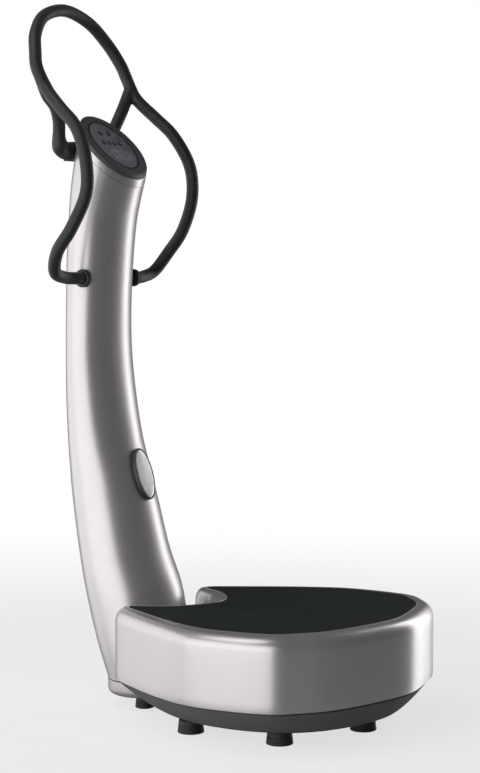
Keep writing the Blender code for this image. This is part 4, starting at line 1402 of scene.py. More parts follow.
@dataclass
class Drive:
    """The two vibration motors under the deck, and the rotors in them."""

    kit: Kit
    fins: int = 30
    sides: int = 72

    def _motor(self, side: str) -> None:
        """Build one finned housing with its saddle.

        Args:
            side: Which of the two it is, left or right.
        """
        low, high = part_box(f"motor_{side}")
        shaft = middle(f"rotor_shaft_{side}")
        length = high.y - low.y
        radius = shaft.z - low.z
        half, bore = length / 2, 0.011
        lay = turned_frame((shaft.x, (low.y + high.y) / 2, shaft.z), -90.0, "X")
        body = radius - 0.004
        profile = [
            (bore, -half), (0.020, -half), (0.022, -half + 0.003), (body - 0.008, -half + 0.003),
            (body - 0.001, -half + 0.007), (body + 0.003, -half + 0.011),
            (body + 0.003, -half + 0.022), (body, -half + 0.025), (body, half - 0.025),
            (body + 0.003, half - 0.022), (body + 0.003, half - 0.011), (body - 0.001, half - 0.007),
            (body - 0.008, half - 0.003), (0.022, half - 0.003), (0.020, half), (bore, half),
        ]
        form = Form().turned(profile, self.sides, lay)
        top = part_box("deck")[1].z - 0.012 - GAP
        wide = 0.025
        deep = length * 0.35
        centre = (low.y + high.y) / 2
        form.block(
            Vector((shaft.x - wide, centre - deep, shaft.z + radius * 0.55)),
            Vector((shaft.x + wide, centre + deep, top)),
        )
        obj = form.outwards().piece(f"motor_housing_{side}", self.kit.look.casting)
        self.kit.mount(rounded(obj, 0.0012, 2), "plate", "motor_casting", (f"motor_{side}",))
        blade = Form().block(Vector((-0.0009, -0.038, -0.004)), Vector((0.0009, 0.038, 0.0035)))
        spots = []
        for k in range(self.fins):
            turn = math.radians(-40.0 + 260.0 * k / (self.fins - 1) + 180.0)
            out = Vector((math.cos(turn), 0.0, math.sin(turn)))
            place = Vector((shaft.x, centre, shaft.z)) + out * body
            side_way = Vector((-out.z, 0.0, out.x))
            spots.append(Spot(tuple(place), tuple(out), tuple(side_way)))
        shape = rounded(blade.outwards().piece("fin", self.kit.look.casting), 0.0005, 1)
        fins = self.kit.repeat.many(f"motor_fins_{side}", spots, shape, self.kit.look.casting)
        self.kit.mount(fins, "plate", "motor_casting")

    def _rotor(self, side: str) -> None:
        """Build one shaft with its two half-disc weights.

        Args:
            side: Which of the two it is, left or right.
        """
        low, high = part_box(f"rotor_shaft_{side}")
        centre = (low + high) / 2
        radius = (high.x - low.x) / 2
        half = (high.y - low.y) / 2
        lay = turned_frame(centre, -90.0, "X")
        profile = [
            (0.0, -half), (radius - 0.0012, -half), (radius, -half + 0.0012),
            (radius, half - 0.0012), (radius - 0.0012, half), (0.0, half),
        ]
        shaft = Form().turned(profile, 48, lay).outwards()
        obj = shaft.piece(f"rotor_bar_{side}", self.kit.look.turned)
        self.kit.mount(obj, f"rotor_{side}", "rotor_steel", (f"rotor_shaft_{side}",))
        for end in ("front", "rear"):
            node = f"eccentric_{end}_{side}"
            low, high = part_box(node)
            reach = centre.z - low.z
            hub = high.z - centre.z
            outer = [(reach * math.cos(a), reach * math.sin(a))
                     for a in (math.pi + math.pi * k / 40 for k in range(41))]
            outer += [(hub * math.cos(a), hub * math.sin(a))
                      for a in (math.pi * k / 20 for k in range(21))]
            bore = oval(radius + GAP, radius + GAP, 40)
            relief = oval(0.0035, 0.0035, 16)
            holes = [[(x + way * 0.021, y - 0.019) for x, y in relief] for way in (-1, 1)]
            upright = turned_frame((centre.x, (low.y + high.y) / 2, centre.z), 90.0, "X")
            thick = (high.y - low.y) / 2
            weight = plate_of(f"weight_{end}_{side}", [outer, bore, *holes], (-thick, thick),
                              upright, self.kit.look.turned, 0.0008)
            self.kit.mount(weight, f"rotor_{side}", "rotor_steel", (node,))

    def build(self) -> None:
        """Build both motors and both rotors."""
        for side in ("left", "right"):
            self._motor(side)
            self._rotor(side)
        self.kit.dress(("deck",), self.kit.look.rolled)


# --- Base ---------------------------------------------------------------------
@dataclass
class Base:
    """The dark pan, the feet, the isolators and the chassis."""

    kit: Kit
    outline: Outline
    wall: float = 0.0030
    edge: float = 0.0035
    rim_inset: float = 0.0060
    pan_screws: int = 10
    screw_oval: Row = (0.155, 0.135, -0.150)
    feet: tuple[str, ...] = (
        "front", "front_left", "front_right", "middle_left", "middle_right",
        "rear_left", "rear_right",
    )

    def _pan(self) -> None:
        """Build the pan, flaring up to the cover's edge."""
        low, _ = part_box("base_pan")
        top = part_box("plate_cover")[0].z - 0.0045
        floor = self.outline.floor
        rim = self.outline.inset(0.0, self.rim_inset)
        depth = top - low.z

        def ring(share: float, pull: float = 0.0) -> list[Row]:
            """Draw one ring of the pan.

            Args:
                share: How far up the pan it is, from 0 to 1.
                pull: How far it is pulled inwards.

            Returns:
                The ring.
            """
            part = share**0.68
            z = low.z + depth * share
            points = []
            for a, b in zip(floor, rim):
                x, y = a[0] + (b[0] - a[0]) * part, a[1] + (b[1] - a[1]) * part
                away = Vector((x, y + 0.14))
                away -= away.normalized() * pull
                points.append((away.x, away.y - 0.14, z))
            return list(reversed(points))

        rings = [ring(0.0, self.edge), ring(0.012, self.edge * 0.35), ring(0.045)]
        rings += [ring(0.045 + 0.955 * k / 12) for k in range(1, 13)]
        obj = Form().loft(rings, caps=(True, False)).piece("pan_shell", self.kit.look.pan)
        obj = walled(obj, self.wall)
        self.kit.mount(obj, "stand", "pan_plastic", ("base_pan",))
        self._underside(low.z)

    def _underside(self, z: float) -> None:
        """Add the screws that hold the pan to the chassis.

        Args:
            z: The height of the pan's underside.
        """
        half_x, half_y, centre_y = self.screw_oval
        spots = []
        for k in range(self.pan_screws):
            turn = 2.0 * math.pi * (k + 0.5) / self.pan_screws
            place = (half_x * math.cos(turn), centre_y + half_y * math.sin(turn), z)
            spots.append(Spot(place, (0.0, 0.0, -1.0)))
        screws = self.kit.screws("pan_screws", spots, 0.0045)
        self.kit.mount(screws, "stand", "frame_steel")

    def _foot(self, radius: float, height: float) -> Piece:
        """Build one ribbed foot round the origin.

        Args:
            radius: Its radius.
            height: Its height.

        Returns:
            The foot.
        """
        step = height / 12
        profile = [(0.0, 0.0012), (radius * 0.45, 0.0012), (radius * 0.5, 0.0)]
        profile += [(radius - 0.0035, 0.0), (radius - 0.0010, 0.0010), (radius, 0.0035)]
        for k in range(3, 9, 2):
            z = k * step
            wide = radius - 0.0030 * z / height
            profile += [(wide, z - step * 0.35), (wide - 0.0008, z), (wide, z + step * 0.35)]
        crown = radius - 0.0030
        profile += [(crown, height - 0.0012), (crown - 0.0010, height), (0.0, height)]
        return Form().turned(profile, 56).outwards().piece("foot", self.kit.look.foot, 28.0)

    def _feet(self) -> None:
        """Build the wide front feet and the small rear feet."""
        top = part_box("base_pan")[0].z - GAP
        for group, names in (("wide", self.feet[:5]), ("small", self.feet[5:])):
            nodes = tuple(f"foot_{name}" for name in names)
            low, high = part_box(nodes[0])
            shape = self._foot((high.x - low.x) / 2, top)
            spots = [Spot((middle(node).x, middle(node).y, 0.0)) for node in nodes]
            made = self.kit.repeat.many(f"feet_{group}", spots, shape, self.kit.look.foot)
            self.kit.mount(soften(made, 28.0), "stand", "foot_rubber", nodes)

    def _isolators(self) -> None:
        """Build the four waisted mounts."""
        nodes = tuple(
            f"isolator_{end}_{side}" for end in ("front", "rear") for side in ("left", "right")
        )
        low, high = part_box(nodes[0])
        radius, height = (high.x - low.x) / 2, high.z - low.z
        profile = [(0.0, 0.0)]
        for k in range(25):
            share = k / 24
            waist = 1.0 - 0.20 * math.sin(math.pi * share) ** 0.8
            ribs = 0.0006 * math.sin(2.0 * math.pi * 6 * share)
            profile.append((radius * waist - abs(ribs), height * share))
        profile.append((0.0, height))
        shape = Form().turned(profile, 40).outwards().piece("isolator", self.kit.look.mount)
        spots = [Spot((middle(node).x, middle(node).y, low.z)) for node in nodes]
        made = self.kit.repeat.many("isolator_set", spots, shape, self.kit.look.mount)
        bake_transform(made)
        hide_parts(*nodes)
        LOG.info("isolator_set: bends between stand and plate")

    def build(self) -> None:
        """Build the base."""
        self._pan()
        self._feet()
        self._isolators()
        self.kit.dress(("chassis_plate",), self.kit.look.chassis)
        self.kit.dress(("motor_controller",), self.kit.look.controller)


# --- Column -------------------------------------------------------------------
@dataclass
class ConsolePlane:
    """The inclined plane of the console and its oval sections."""

    centre: Flat = (0.2905, 1.2310)
    tilt: float = math.radians(47.0)
    lean: float = math.radians(11.0)
    half_width: float = 0.0930
    half_length: float = 0.0915
    rim_height: float = 0.0110
    housing_height: float = 0.0180
    lens_half_width: float = 0.0675
    lens_half_length: float = 0.0725
    lens_recess: float = 0.0010
    lens_thickness: float = 0.0030

    def frame(self, drop: float = 0.0) -> Matrix:
        """Find the plane's frame, moved down the column.

        Args:
            drop: How far it moves.

        Returns:
            The frame.
        """
        down = Vector((0.0, math.sin(self.lean), -math.cos(self.lean)))
        place = Vector((0.0, *self.centre)) + down * drop
        return Matrix.Translation(place) @ Matrix.Rotation(self.tilt, 4, "X")

    def station(self, drop: float, inset: float = 0.0) -> Row:
        """Find the head's outer section.

        Args:
            drop: How far it is below the plane.
            inset: How far it is pulled in.

        Returns:
            The front's Y and Z, the rear's Y and Z, and half the width.
        """
        spot = self.frame(drop)
        front = spot @ Vector((0.0, inset - self.half_length, 0.0))
        rear = spot @ Vector((0.0, self.half_length - inset, 0.0))
        return (front.y, front.z, rear.y, rear.z, self.half_width - inset)

    def lens(self, depth: float, extra: float) -> Row:
        """Find the section of the lens opening.

        Args:
            depth: How far it is below the plane.
            extra: How much wider than the lens it is.

        Returns:
            The section, as station gives it.
        """
        spot = self.frame()
        front = spot @ Vector((0.0, -self.lens_half_length - extra, -depth))
        rear = spot @ Vector((0.0, self.lens_half_length + extra, -depth))
        return (front.y, front.z, rear.y, rear.z, self.lens_half_width + extra)


def section(station: Row, angles: list[float]) -> list[Row]:
    """Draw points round an oval section.

    Args:
        station: The front's Y and Z, the rear's Y and Z, and half the width.
        angles: Where the points are: 0 is +Y and 90 degrees is +X.

    Returns:
        The points.
    """
    front = Vector((0.0, station[0], station[1]))
    rear = Vector((0.0, station[2], station[3]))
    centre, along = (front + rear) / 2, (rear - front) / 2
    return [
        tuple(centre + along * math.cos(a) + Vector((station[4] * math.sin(a), 0.0, 0.0)))
        for a in angles
    ]


def whole(station: Row) -> list[Row]:
    """Return a closed ring round a section, anticlockwise from above."""
    return section(station, [-2.0 * math.pi * k / RING_SIDES for k in range(RING_SIDES)])


@dataclass
class Column:
    """The leaning column: shoe, shell, rear cover, badge and mains panel."""

    kit: Kit
    plane: ConsolePlane
    wall: float = 0.0030
    sides: int = 144
    steps: int = 9
    rear_angle: float = math.radians(38.0)
    seam: float = 0.0012
    shoe_gap: float = 0.0020
    screw_heights: Row = (0.215, 0.520, 0.800, 1.060)
    stations: tuple[Row, ...] = (
        (0.0980, 0.064, 0.2830, 0.064, 0.1120),
        (0.1180, 0.150, 0.3135, 0.150, 0.1160),
        (0.1380, 0.254, 0.3420, 0.254, 0.1180),
        (0.1720, 0.342, 0.3600, 0.342, 0.1125),
        (0.1985, 0.440, 0.3765, 0.440, 0.1066),
        (0.2170, 0.506, 0.3850, 0.506, 0.1017),
        (0.2420, 0.587, 0.3900, 0.587, 0.0995),
        (0.2605, 0.685, 0.3935, 0.685, 0.0965),
        (0.2710, 0.782, 0.3940, 0.782, 0.0935),
        (0.2710, 0.880, 0.3940, 0.880, 0.0915),
        (0.2650, 0.978, 0.3920, 0.978, 0.0918),
        (0.2565, 1.055, 0.3865, 1.066, 0.0925),
        (0.2455, 1.100, 0.3785, 1.155, 0.0930),
    )

    def path(self) -> list[Row]:
        """Return the smooth sections from the shoe to past the seam."""
        top = self.plane.station(self.plane.rim_height + self.plane.housing_height - 0.004)
        return smooth_path([*self.stations, top], self.steps)

    def near(self, z: float) -> Row:
        """Return the section whose middle is nearest a height."""
        return min(self.path(), key=lambda row: abs((row[1] + row[3]) / 2 - z))

    def _shells(self) -> None:
        """Build the main shell and the rear cover strip."""
        gap = self.seam / self.stations[0][4]
        share = 1.0 - self.rear_angle / math.pi
        count = round(self.sides * share) + 1
        ends = (self.rear_angle + gap, 2.0 * math.pi - self.rear_angle - gap)
        wide = [ends[0] + (ends[1] - ends[0]) * k / (count - 1) for k in range(count)]
        slim = self.sides - count + 2
        narrow = [self.rear_angle * (2.0 * k / (slim - 1) - 1.0) for k in range(slim)]
        drop = self.plane.rim_height + self.plane.housing_height + GAP
        seam = self.plane.frame(drop)
        normal = seam.to_3x3() @ Vector((0.0, 0.0, 1.0))
        for name, node, angles in (
            ("column_skin", "column_shell", wide),
            ("column_back_strip", "column_rear_cover", narrow),
        ):
            rings = [list(reversed(section(station, angles))) for station in self.path()]
            form = Form().loft(rings, closed=False).cut(seam.translation, normal)
            obj = walled(form.piece(name, self.kit.look.column), self.wall)
            if node == "column_rear_cover":
                self._window(obj)
            self.kit.mount(obj, "stand", "column_silver", (node,))

    def _window(self, strip: Piece) -> None:
        """Cut the mains panel's window out of the rear strip.

        Args:
            strip: The rear strip.
        """
        low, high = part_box("mains_panel")
        half = (high - low) / 2 - Vector((0.005, 0.0, 0.005))
        spot = turned_frame(middle("mains_panel"), 90.0, "X")
        cutter = Form().prism(round_box(half.x, half.z, 0.004), -0.08, 0.0, spot).outwards()
        carved(strip, cutter.piece("window", self.kit.look.column))

    def _shoe(self) -> None:
        """Build the shoe under the column, with its rounded lower edge."""
        front_y, z, rear_y, _, half = self.stations[0]
        top = z - self.shoe_gap
        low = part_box("column_shoe")[0].z
        rings = []
        for k in range(11):
            turn = math.radians(9.0 * k)
            inset = 0.016 * (1.0 - math.sin(turn))
            height = low + (top - low) * 0.42 * (1.0 - math.cos(turn))
            rings.append(whole((front_y + inset, height, rear_y - inset, height, half - inset)))
        for drop, inset in ((0.0012, 0.0), (0.0003, 0.0004), (0.0, 0.0012)):
            height = top - drop
            rings.append(whole((front_y + inset, height, rear_y - inset, height, half - inset)))
        form = Form().loft(rings, caps=(True, False))
        obj = walled(form.piece("shoe_shell", self.kit.look.shoe), self.wall)
        self.kit.mount(obj, "stand", "shoe_plastic", ("column_shoe",))

    def _badge(self) -> None:
        """Build the domed oval badge and its ring."""
        low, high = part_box("badge")
        centre = (low + high) / 2
        below, above = self.near(centre.z - 0.04), self.near(centre.z + 0.04)
        lean = math.atan2(above[0] - below[0], 0.08)
        across = Vector((-1.0, 0.0, 0.0))
        up = Vector((0.0, math.sin(lean), math.cos(lean)))
        out = Vector((0.0, -math.cos(lean), math.sin(lean)))
        spot = Matrix((across, up, out)).transposed().to_4x4()
        spot = Matrix.Translation(centre) @ spot
        half_x, half_y = (high.x - low.x) / 2, (high.z - low.z) / 2 / math.cos(lean)
        half_y -= 0.0006

        def ring(wide: float, z: float) -> list[Row]:
            """Return an oval ring grown by a width at a height."""
            loop = oval(half_x + wide, half_y + wide, 96)
            return [tuple(spot @ Vector((*p, z))) for p in loop]

        rows = [(0.0, -0.003), (0.0, 0.0012), (-0.0006, 0.0022), (-0.0020, 0.0026)]
        rings = [ring(wide, z) for wide, z in rows]
        for k in range(1, 9):
            inwards = half_x * 0.92 * k / 8
            rings.append(ring(-0.002 - inwards, 0.0026 + 0.0004 * math.sin(math.pi / 2 * k / 8)))
        form = Form().loft(rings, caps=(True, True)).outwards()
        dome = form.piece("badge_dome", self.kit.look.badge, 50.0)
        self.kit.mount(dome, "stand", "badge_silver", ("badge",))
        rows = [(0.0003, -0.003), (0.0003, 0.0018), (0.0010, 0.0028), (0.0022, 0.0030),
                (0.0031, 0.0022), (0.0035, 0.0006), (0.0035, -0.003)]
        form = Form().loft([ring(wide, z) for wide, z in rows], joined=True).outwards()
        bezel = form.piece("badge_bezel", self.kit.look.badge_rim, 60.0)
        self.kit.mount(bezel, "stand", "badge_rim", ("badge_ring",))

    def _mains(self) -> None:
        """Build the mains panel, its inlet, its rocker and its screws."""
        look = self.kit.look
        low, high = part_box("mains_panel")
        centre, size = (low + high) / 2, high - low
        upright = turned_frame(centre, 90.0, "X")
        inlet, hole = middle_and_half("mains_inlet")
        switch, slot = middle_and_half("power_switch")

        def around(at: Vector, half: Vector, extra: float, radius: float) -> list[Flat]:
            """Return a hole's loop in the panel's plane."""
            loop = round_box(half.x + extra, half.z + extra, radius)
            return [(x + at.x - centre.x, y + at.z - centre.z) for x, y in loop]

        plate = round_box(size.x / 2, size.z / 2, 0.004)
        holes = [around(inlet, hole, GAP, 0.001), around(switch, slot, 0.0008, 0.001)]
        obj = plate_of("mains_plate", [plate, *holes], (-size.y / 2, size.y / 2), upright,
                       look.mains, 0.0006)
        self.kit.mount(obj, "stand", "mains_plastic", ("mains_panel",))
        self._inlet(inlet, hole)
        self._rocker(switch.x)
        corners = [(x, z) for x in (-0.0300, 0.0300) for z in (-0.0185, 0.0185)]
        spots = [Spot((x, high.y, centre.z + z), (0.0, 1.0, 0.0)) for x, z in corners]
        self.kit.mount(self.kit.screws("mains_screws", spots, 0.0022), "stand", "frame_steel")

    def _inlet(self, centre: Vector, half: Vector) -> None:
        """Build the inlet's shroud and its three flat pins.

        Args:
            centre: The middle of the inlet.
            half: Half of its size.
        """
        upright = turned_frame(centre, 90.0, "X")
        outer = round_box(half.x, half.z, 0.002)
        form = Form().prism(outer, -half.y, half.y, upright).outwards()
        shroud = form.piece("inlet_shroud", self.kit.look.mains)
        wall, cut = 0.0028, 0.0045
        x, z = half.x - wall, half.z - wall
        cavity = [(-x, -z), (x, -z), (x, z - cut), (x - cut, z), (cut - x, z), (-x, z - cut)]
        deep = Form().prism(cavity, -half.y - 0.01, half.y - wall, upright).outwards()
        carved(shroud, deep.piece("cavity", self.kit.look.mains))
        obj = rounded(shroud, 0.0004, 2)
        self.kit.mount(obj, "stand", "mains_plastic", ("mains_inlet",))
        pin = Form().block(Vector((-0.0010, -0.0020, 0.0)), Vector((0.0010, 0.0020, 0.0125)))
        shape = rounded(pin.outwards().piece("pin", self.kit.look.tube), 0.0005, 2)
        floor = centre.y - half.y + wall - 0.0005
        spots = [
            Spot((centre.x + x, floor, centre.z + z), (0.0, 1.0, 0.0), (1.0, 0.0, 0.0))
            for x, z in ((-0.0068, -0.0012), (0.0, 0.0022), (0.0068, -0.0012))
        ]
        pins = self.kit.repeat.many("inlet_pins", spots, shape, self.kit.look.tube)
        self.kit.mount(pins, "stand", "frame_steel")

    def _rocker(self, x: float) -> None:
        """Build the rocker with its on and off marks.

        Args:
            x: Where the middle of the switch is.
        """
        throw = math.radians(16.0)
        half_x, half_y, half_z = 0.0070, 0.0050, 0.0110
        pivot = Vector((x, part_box("mains_panel")[1].y, middle("mains_panel").z))
        spot = Matrix.Translation(pivot) @ Matrix.Rotation(-throw / 2, 4, "X")
        dip = math.tan(throw / 2) * half_z
        face = half_y * 0.6
        profile = [(-half_y * 0.4, -half_z * 0.8), (face, -half_z), (face - dip * 0.75, -0.004),
                   (face - dip, 0.0), (face - dip * 0.75, 0.004), (face, half_z),
                   (-half_y * 0.4, half_z * 0.8)]
        rings = [[tuple(spot @ Vector((side, y, z))) for y, z in profile]
                 for side in (-half_x, half_x)]
        form = Form().loft(rings, caps=(True, True)).outwards()
        obj = rounded(form.piece("rocker", self.kit.look.mains), 0.0006, 3)
        self.kit.mount(obj, "switch", "mains_plastic", ("power_switch",))
        lift = face - dip + 0.0062 * math.tan(throw / 2) + 0.00005
        for name, way in (("on", 1.0), ("off", -1.0)):
            mark = spot @ Matrix.Translation((0.0, lift, 0.0062 * way))
            mark = mark @ Matrix.Rotation(math.radians(-90.0) + way * throw / 2, 4, "X")
            if name == "on":
                form = Form().prism(round_box(0.0004, 0.0017, 0.0002, 2), -0.0002, 0.0001, mark)
            else:
                rows = [(0.0010, -0.0002), (0.0016, -0.0002), (0.0016, 0.0001), (0.0010, 0.0001)]
                form = Form().turned(rows, 32, mark)
            sign = form.outwards().piece(f"rocker_{name}", self.kit.look.mark)
            self.kit.mount(sign, "switch", "mains_plastic")

    def _strip_screws(self) -> None:
        """Add the screws that hold the rear strip."""
        spots = []
        for z in self.screw_heights:
            station = self.near(z)
            for way in (-1.0, 1.0):
                angle = way * (self.rear_angle - 0.13)
                points = section(station, [angle - 0.02, angle, angle + 0.02])
                flat = Vector(points[2]) - Vector(points[0])
                out = flat.cross(Vector((0.0, 0.0, 1.0)))
                out *= 1.0 if out.y > 0.0 else -1.0
                spots.append(Spot(points[1], tuple(out.normalized())))
        screws = self.kit.screws("strip_screws", spots, 0.0038)
        self.kit.mount(screws, "stand", "frame_steel")

    def build(self) -> None:
        """Build the column and dress the steel inside it."""
        self._shells()
        self._shoe()
        self._badge()
        self._mains()
        self._strip_screws()
        self.kit.dress(("post_flange", "column_post", "head_bracket"), self.kit.look.chassis)


# --- Console ------------------------------------------------------------------
class Sign(Enum):
    """The plain marks on the buttons, as loops in a unit square."""

    START = (((-0.6, -0.8), (0.8, 0.0), (-0.6, 0.8)),)
    STOP = (((-0.7, -0.7), (0.7, -0.7), (0.7, 0.7), (-0.7, 0.7)),)
    TIME = (((-0.8, -0.9), (0.8, -0.9), (0.1, 0.0), (0.8, 0.9), (-0.8, 0.9), (-0.1, 0.0)),)
    LEVEL = (
        ((-0.9, -0.8), (-0.4, -0.8), (-0.4, -0.2), (-0.9, -0.2)),
        ((-0.25, -0.8), (0.25, -0.8), (0.25, 0.3), (-0.25, 0.3)),
        ((0.4, -0.8), (0.9, -0.8), (0.9, 0.8), (0.4, 0.8)),
    )
    DOWN = (((-0.8, 0.5), (0.0, -0.7), (0.8, 0.5)),)
    UP = (((-0.8, -0.5), (0.8, -0.5), (0.0, 0.7)),)


@dataclass
class Console:
    """The inclined head: housing ring, dark rim, lens, display and buttons."""

    kit: Kit
    plane: ConsolePlane
    wall: float = 0.0030
    places: dict[str, Flat] = field(
        default_factory=lambda: {
            "start": (-0.0300, 0.0060),
            "stop": (-0.0100, 0.0060),
            "time": (0.0100, 0.0060),
            "level": (0.0300, 0.0060),
            "down": (-0.0150, 0.0360),
            "up": (0.0150, 0.0360),
        }
    )
    window: tuple[float, float, float, float] = (0.0, -0.0290, 0.0300, 0.0145)

    def _housing(self) -> None:
        """Build the silver ring between the column's seam and the rim."""
        plane = self.plane
        low = plane.rim_height + plane.housing_height
        high = plane.rim_height + GAP
        rows = [(low, 0.0006), (low - 0.0006, 0.0)]
        rows += [(low + (high - low) * k / 5, 0.0) for k in range(1, 5)]
        rows += [(high + 0.0008, 0.0), (high, 0.0008), (high, self.wall), (low, self.wall)]
        rings = [whole(plane.station(drop, inset)) for drop, inset in rows]
        form = Form().loft(rings, joined=True).outwards()
        obj = form.piece("head_ring", self.kit.look.column)
        self.kit.mount(obj, "stand", "column_silver", ("console_housing",))

    def _rim(self) -> None:
        """Build the dark rim with its rounded outer edge, and the near-black ring that paints the
        lens recess's shadow.
        """
        plane = self.plane
        under = plane.lens_recess + plane.lens_thickness + 2 * GAP
        rings = [whole(plane.lens(under + 0.003, -0.003)), whole(plane.station(0.0110, 0.002))]
        rings += [whole(plane.station(0.0110, 0.0008)), whole(plane.station(0.0104, 0.0))]
        radius = 0.0045
        rings += [whole(plane.station(0.008)), whole(plane.station(0.0062))]
        for degrees in range(0, 91, 10):
            turn = math.radians(degrees)
            drop = radius * (1.0 - math.sin(turn))
            rings.append(whole(plane.station(drop, radius * (1.0 - math.cos(turn)))))
        rings += [whole(plane.lens(0.0002, 0.0060)), whole(plane.lens(0.0, 0.0028))]
        rings += [whole(plane.lens(0.0003, 0.0016)), whole(plane.lens(0.0012, GAP))]
        rings += [whole(plane.lens(under, GAP)), whole(plane.lens(under, -0.003))]
        form = Form().loft(rings, joined=True).outwards()
        obj = form.piece("head_rim", self.kit.look.rim, 42.0)
        self.kit.mount(obj, "stand", "console_rim", ("console_rim",))
        # A near-black ring round the lens edge, where the recess casts shade: painted shadow.
        rows = [(0.0018, 0.0005), (0.0008, 0.0005), (0.0005, -0.0002), (0.0004, -0.0018),
                (0.0006, -0.0036), (0.00095, -0.0044), (0.0018, -0.0044)]
        rings = [whole(plane.lens(depth, extra)) for depth, extra in rows]
        form = Form().loft(rings, joined=True).outwards()
        shadow_ring = form.piece("lens_gasket", self.kit.look.shadow_ring)
        self.kit.mount(shadow_ring, "stand", "console_rim")

    def _face(self) -> None:
        """Build the lens with its openings, and the display under it."""
        plane = self.plane
        spot = plane.frame()
        radius = 0.0065
        holes = [[(x + px, y + py) for px, py in oval(radius, radius, 40)]
                 for x, y in self.places.values()]
        x, y, half_x, half_y = self.window
        holes.append([(x + px, y + py) for px, py in round_box(half_x, half_y, 0.003)])
        edge = oval(plane.lens_half_width, plane.lens_half_length, 128)
        depth = (-plane.lens_recess - plane.lens_thickness, -plane.lens_recess)
        lens = plate_of("lens_plate", [edge, *holes], depth, spot, self.kit.look.lens, 0.0003)
        self.kit.mount(lens, "stand", "console_lens", ("console_lens",))
        under = plane.lens_recess + plane.lens_thickness + GAP
        at = spot @ Matrix.Translation((x, y, 0.0))
        pane = [round_box(half_x - GAP, half_y - GAP, 0.0028)]
        glass = plate_of("display_pane", pane, (-under - 0.003, -plane.lens_recess - 0.0004), at,
                         self.kit.look.display, 0.0003)
        self.kit.mount(glass, "stand", "display", ("display",))
        self._digits(at, -plane.lens_recess - 0.0004)

    def _digits(self, at: Matrix, top: float) -> None:
        """Print the display's seven-bar digits and its level bars.

        Args:
            at: The frame of the display.
            top: The height of its face in that frame.
        """
        loop = [(-0.0024, 0.0), (-0.0019, -0.0005), (0.0019, -0.0005), (0.0024, 0.0),
                (0.0019, 0.0005), (-0.0019, 0.0005)]
        bar = Form().prism(loop, 0.0, 0.00008, Matrix.Identity(4))
        shape = bar.outwards().piece("bar", self.kit.look.ink)
        turn = at.to_3x3()
        out = tuple(turn @ Vector((0.0, 0.0, 1.0)))
        flat, upright = turn @ Vector((1.0, 0.0, 0.0)), turn @ Vector((0.0, 1.0, 0.0))
        layout = {
            "A": (0.0, 1.0, flat), "G": (0.0, 0.0, flat), "D": (0.0, -1.0, flat),
            "B": (0.5, 0.5, upright), "C": (0.5, -0.5, upright),
            "E": (-0.5, -0.5, upright), "F": (-0.5, 0.5, upright),
        }
        lit = ((-0.0210, "ABGCD"), (-0.0125, "ABCDEF"), (0.0025, "ABCDEF"), (0.0110, "ABCDEF"))
        spots = []
        for x, bars in lit:
            for key in bars:
                side, up, along = layout[key]
                place = at @ Vector((x + side * 0.0056, 0.0015 + up * 0.0053, top))
                spots.append(Spot(tuple(place), out, tuple(along)))
        for y in (-0.0010, 0.0040):
            place = at @ Vector((-0.0050, y, top))
            spots.append(Spot(tuple(place), out, tuple(flat), (0.30, 1.2, 1.0)))
        for k in range(8):
            place = at @ Vector((-0.0180 + 0.0048 * k, -0.0100, top))
            spots.append(Spot(tuple(place), out, tuple(flat), (0.75, 1.6, 1.0)))
        digits = self.kit.repeat.many("display_digits", spots, shape, self.kit.look.ink)
        self.kit.mount(digits, "stand", "display")

    def _button(self, name: str, x: float, y: float) -> None:
        """Build one button with its mark, on its own body.

        Args:
            name: What the button does.
            x: Its place across the lens.
            y: Its place up the lens.
        """
        spot = self.plane.frame() @ Matrix.Translation((x, y, -self.plane.lens_recess))
        radius, proud, height = 0.0060, 0.0012, 0.0100
        profile = [(0.0, proud - 0.0004), (radius * 0.55, proud - 0.0003), (radius * 0.8, proud),
                   (radius - 0.0005, proud - 0.0002), (radius, proud - 0.0008),
                   (radius, proud - height), (0.0, proud - height)]
        form = Form().turned(profile, 48, spot).outwards()
        cap = form.piece(f"key_{name}", self.kit.look.button, 50.0)
        body = f"button_{name}"
        self.kit.mount(cap, body, "button_rubber", (body,))
        form = Form()
        for loop in Sign[name.upper()].value:
            points = [(px * 0.0021, py * 0.0021) for px, py in loop]
            form.prism(points, proud - 0.0006, proud - 0.0002, spot)
        mark = form.outwards().piece(f"key_{name}_mark", self.kit.look.mark)
        self.kit.mount(mark, body, "button_rubber")

    def build(self) -> None:
        """Build the head."""
        self._housing()
        self._rim()
        self._face()
        for name, (x, y) in self.places.items():
            self._button(name, x, y)
        self.kit.dress(("control_board",), self.kit.look.board)


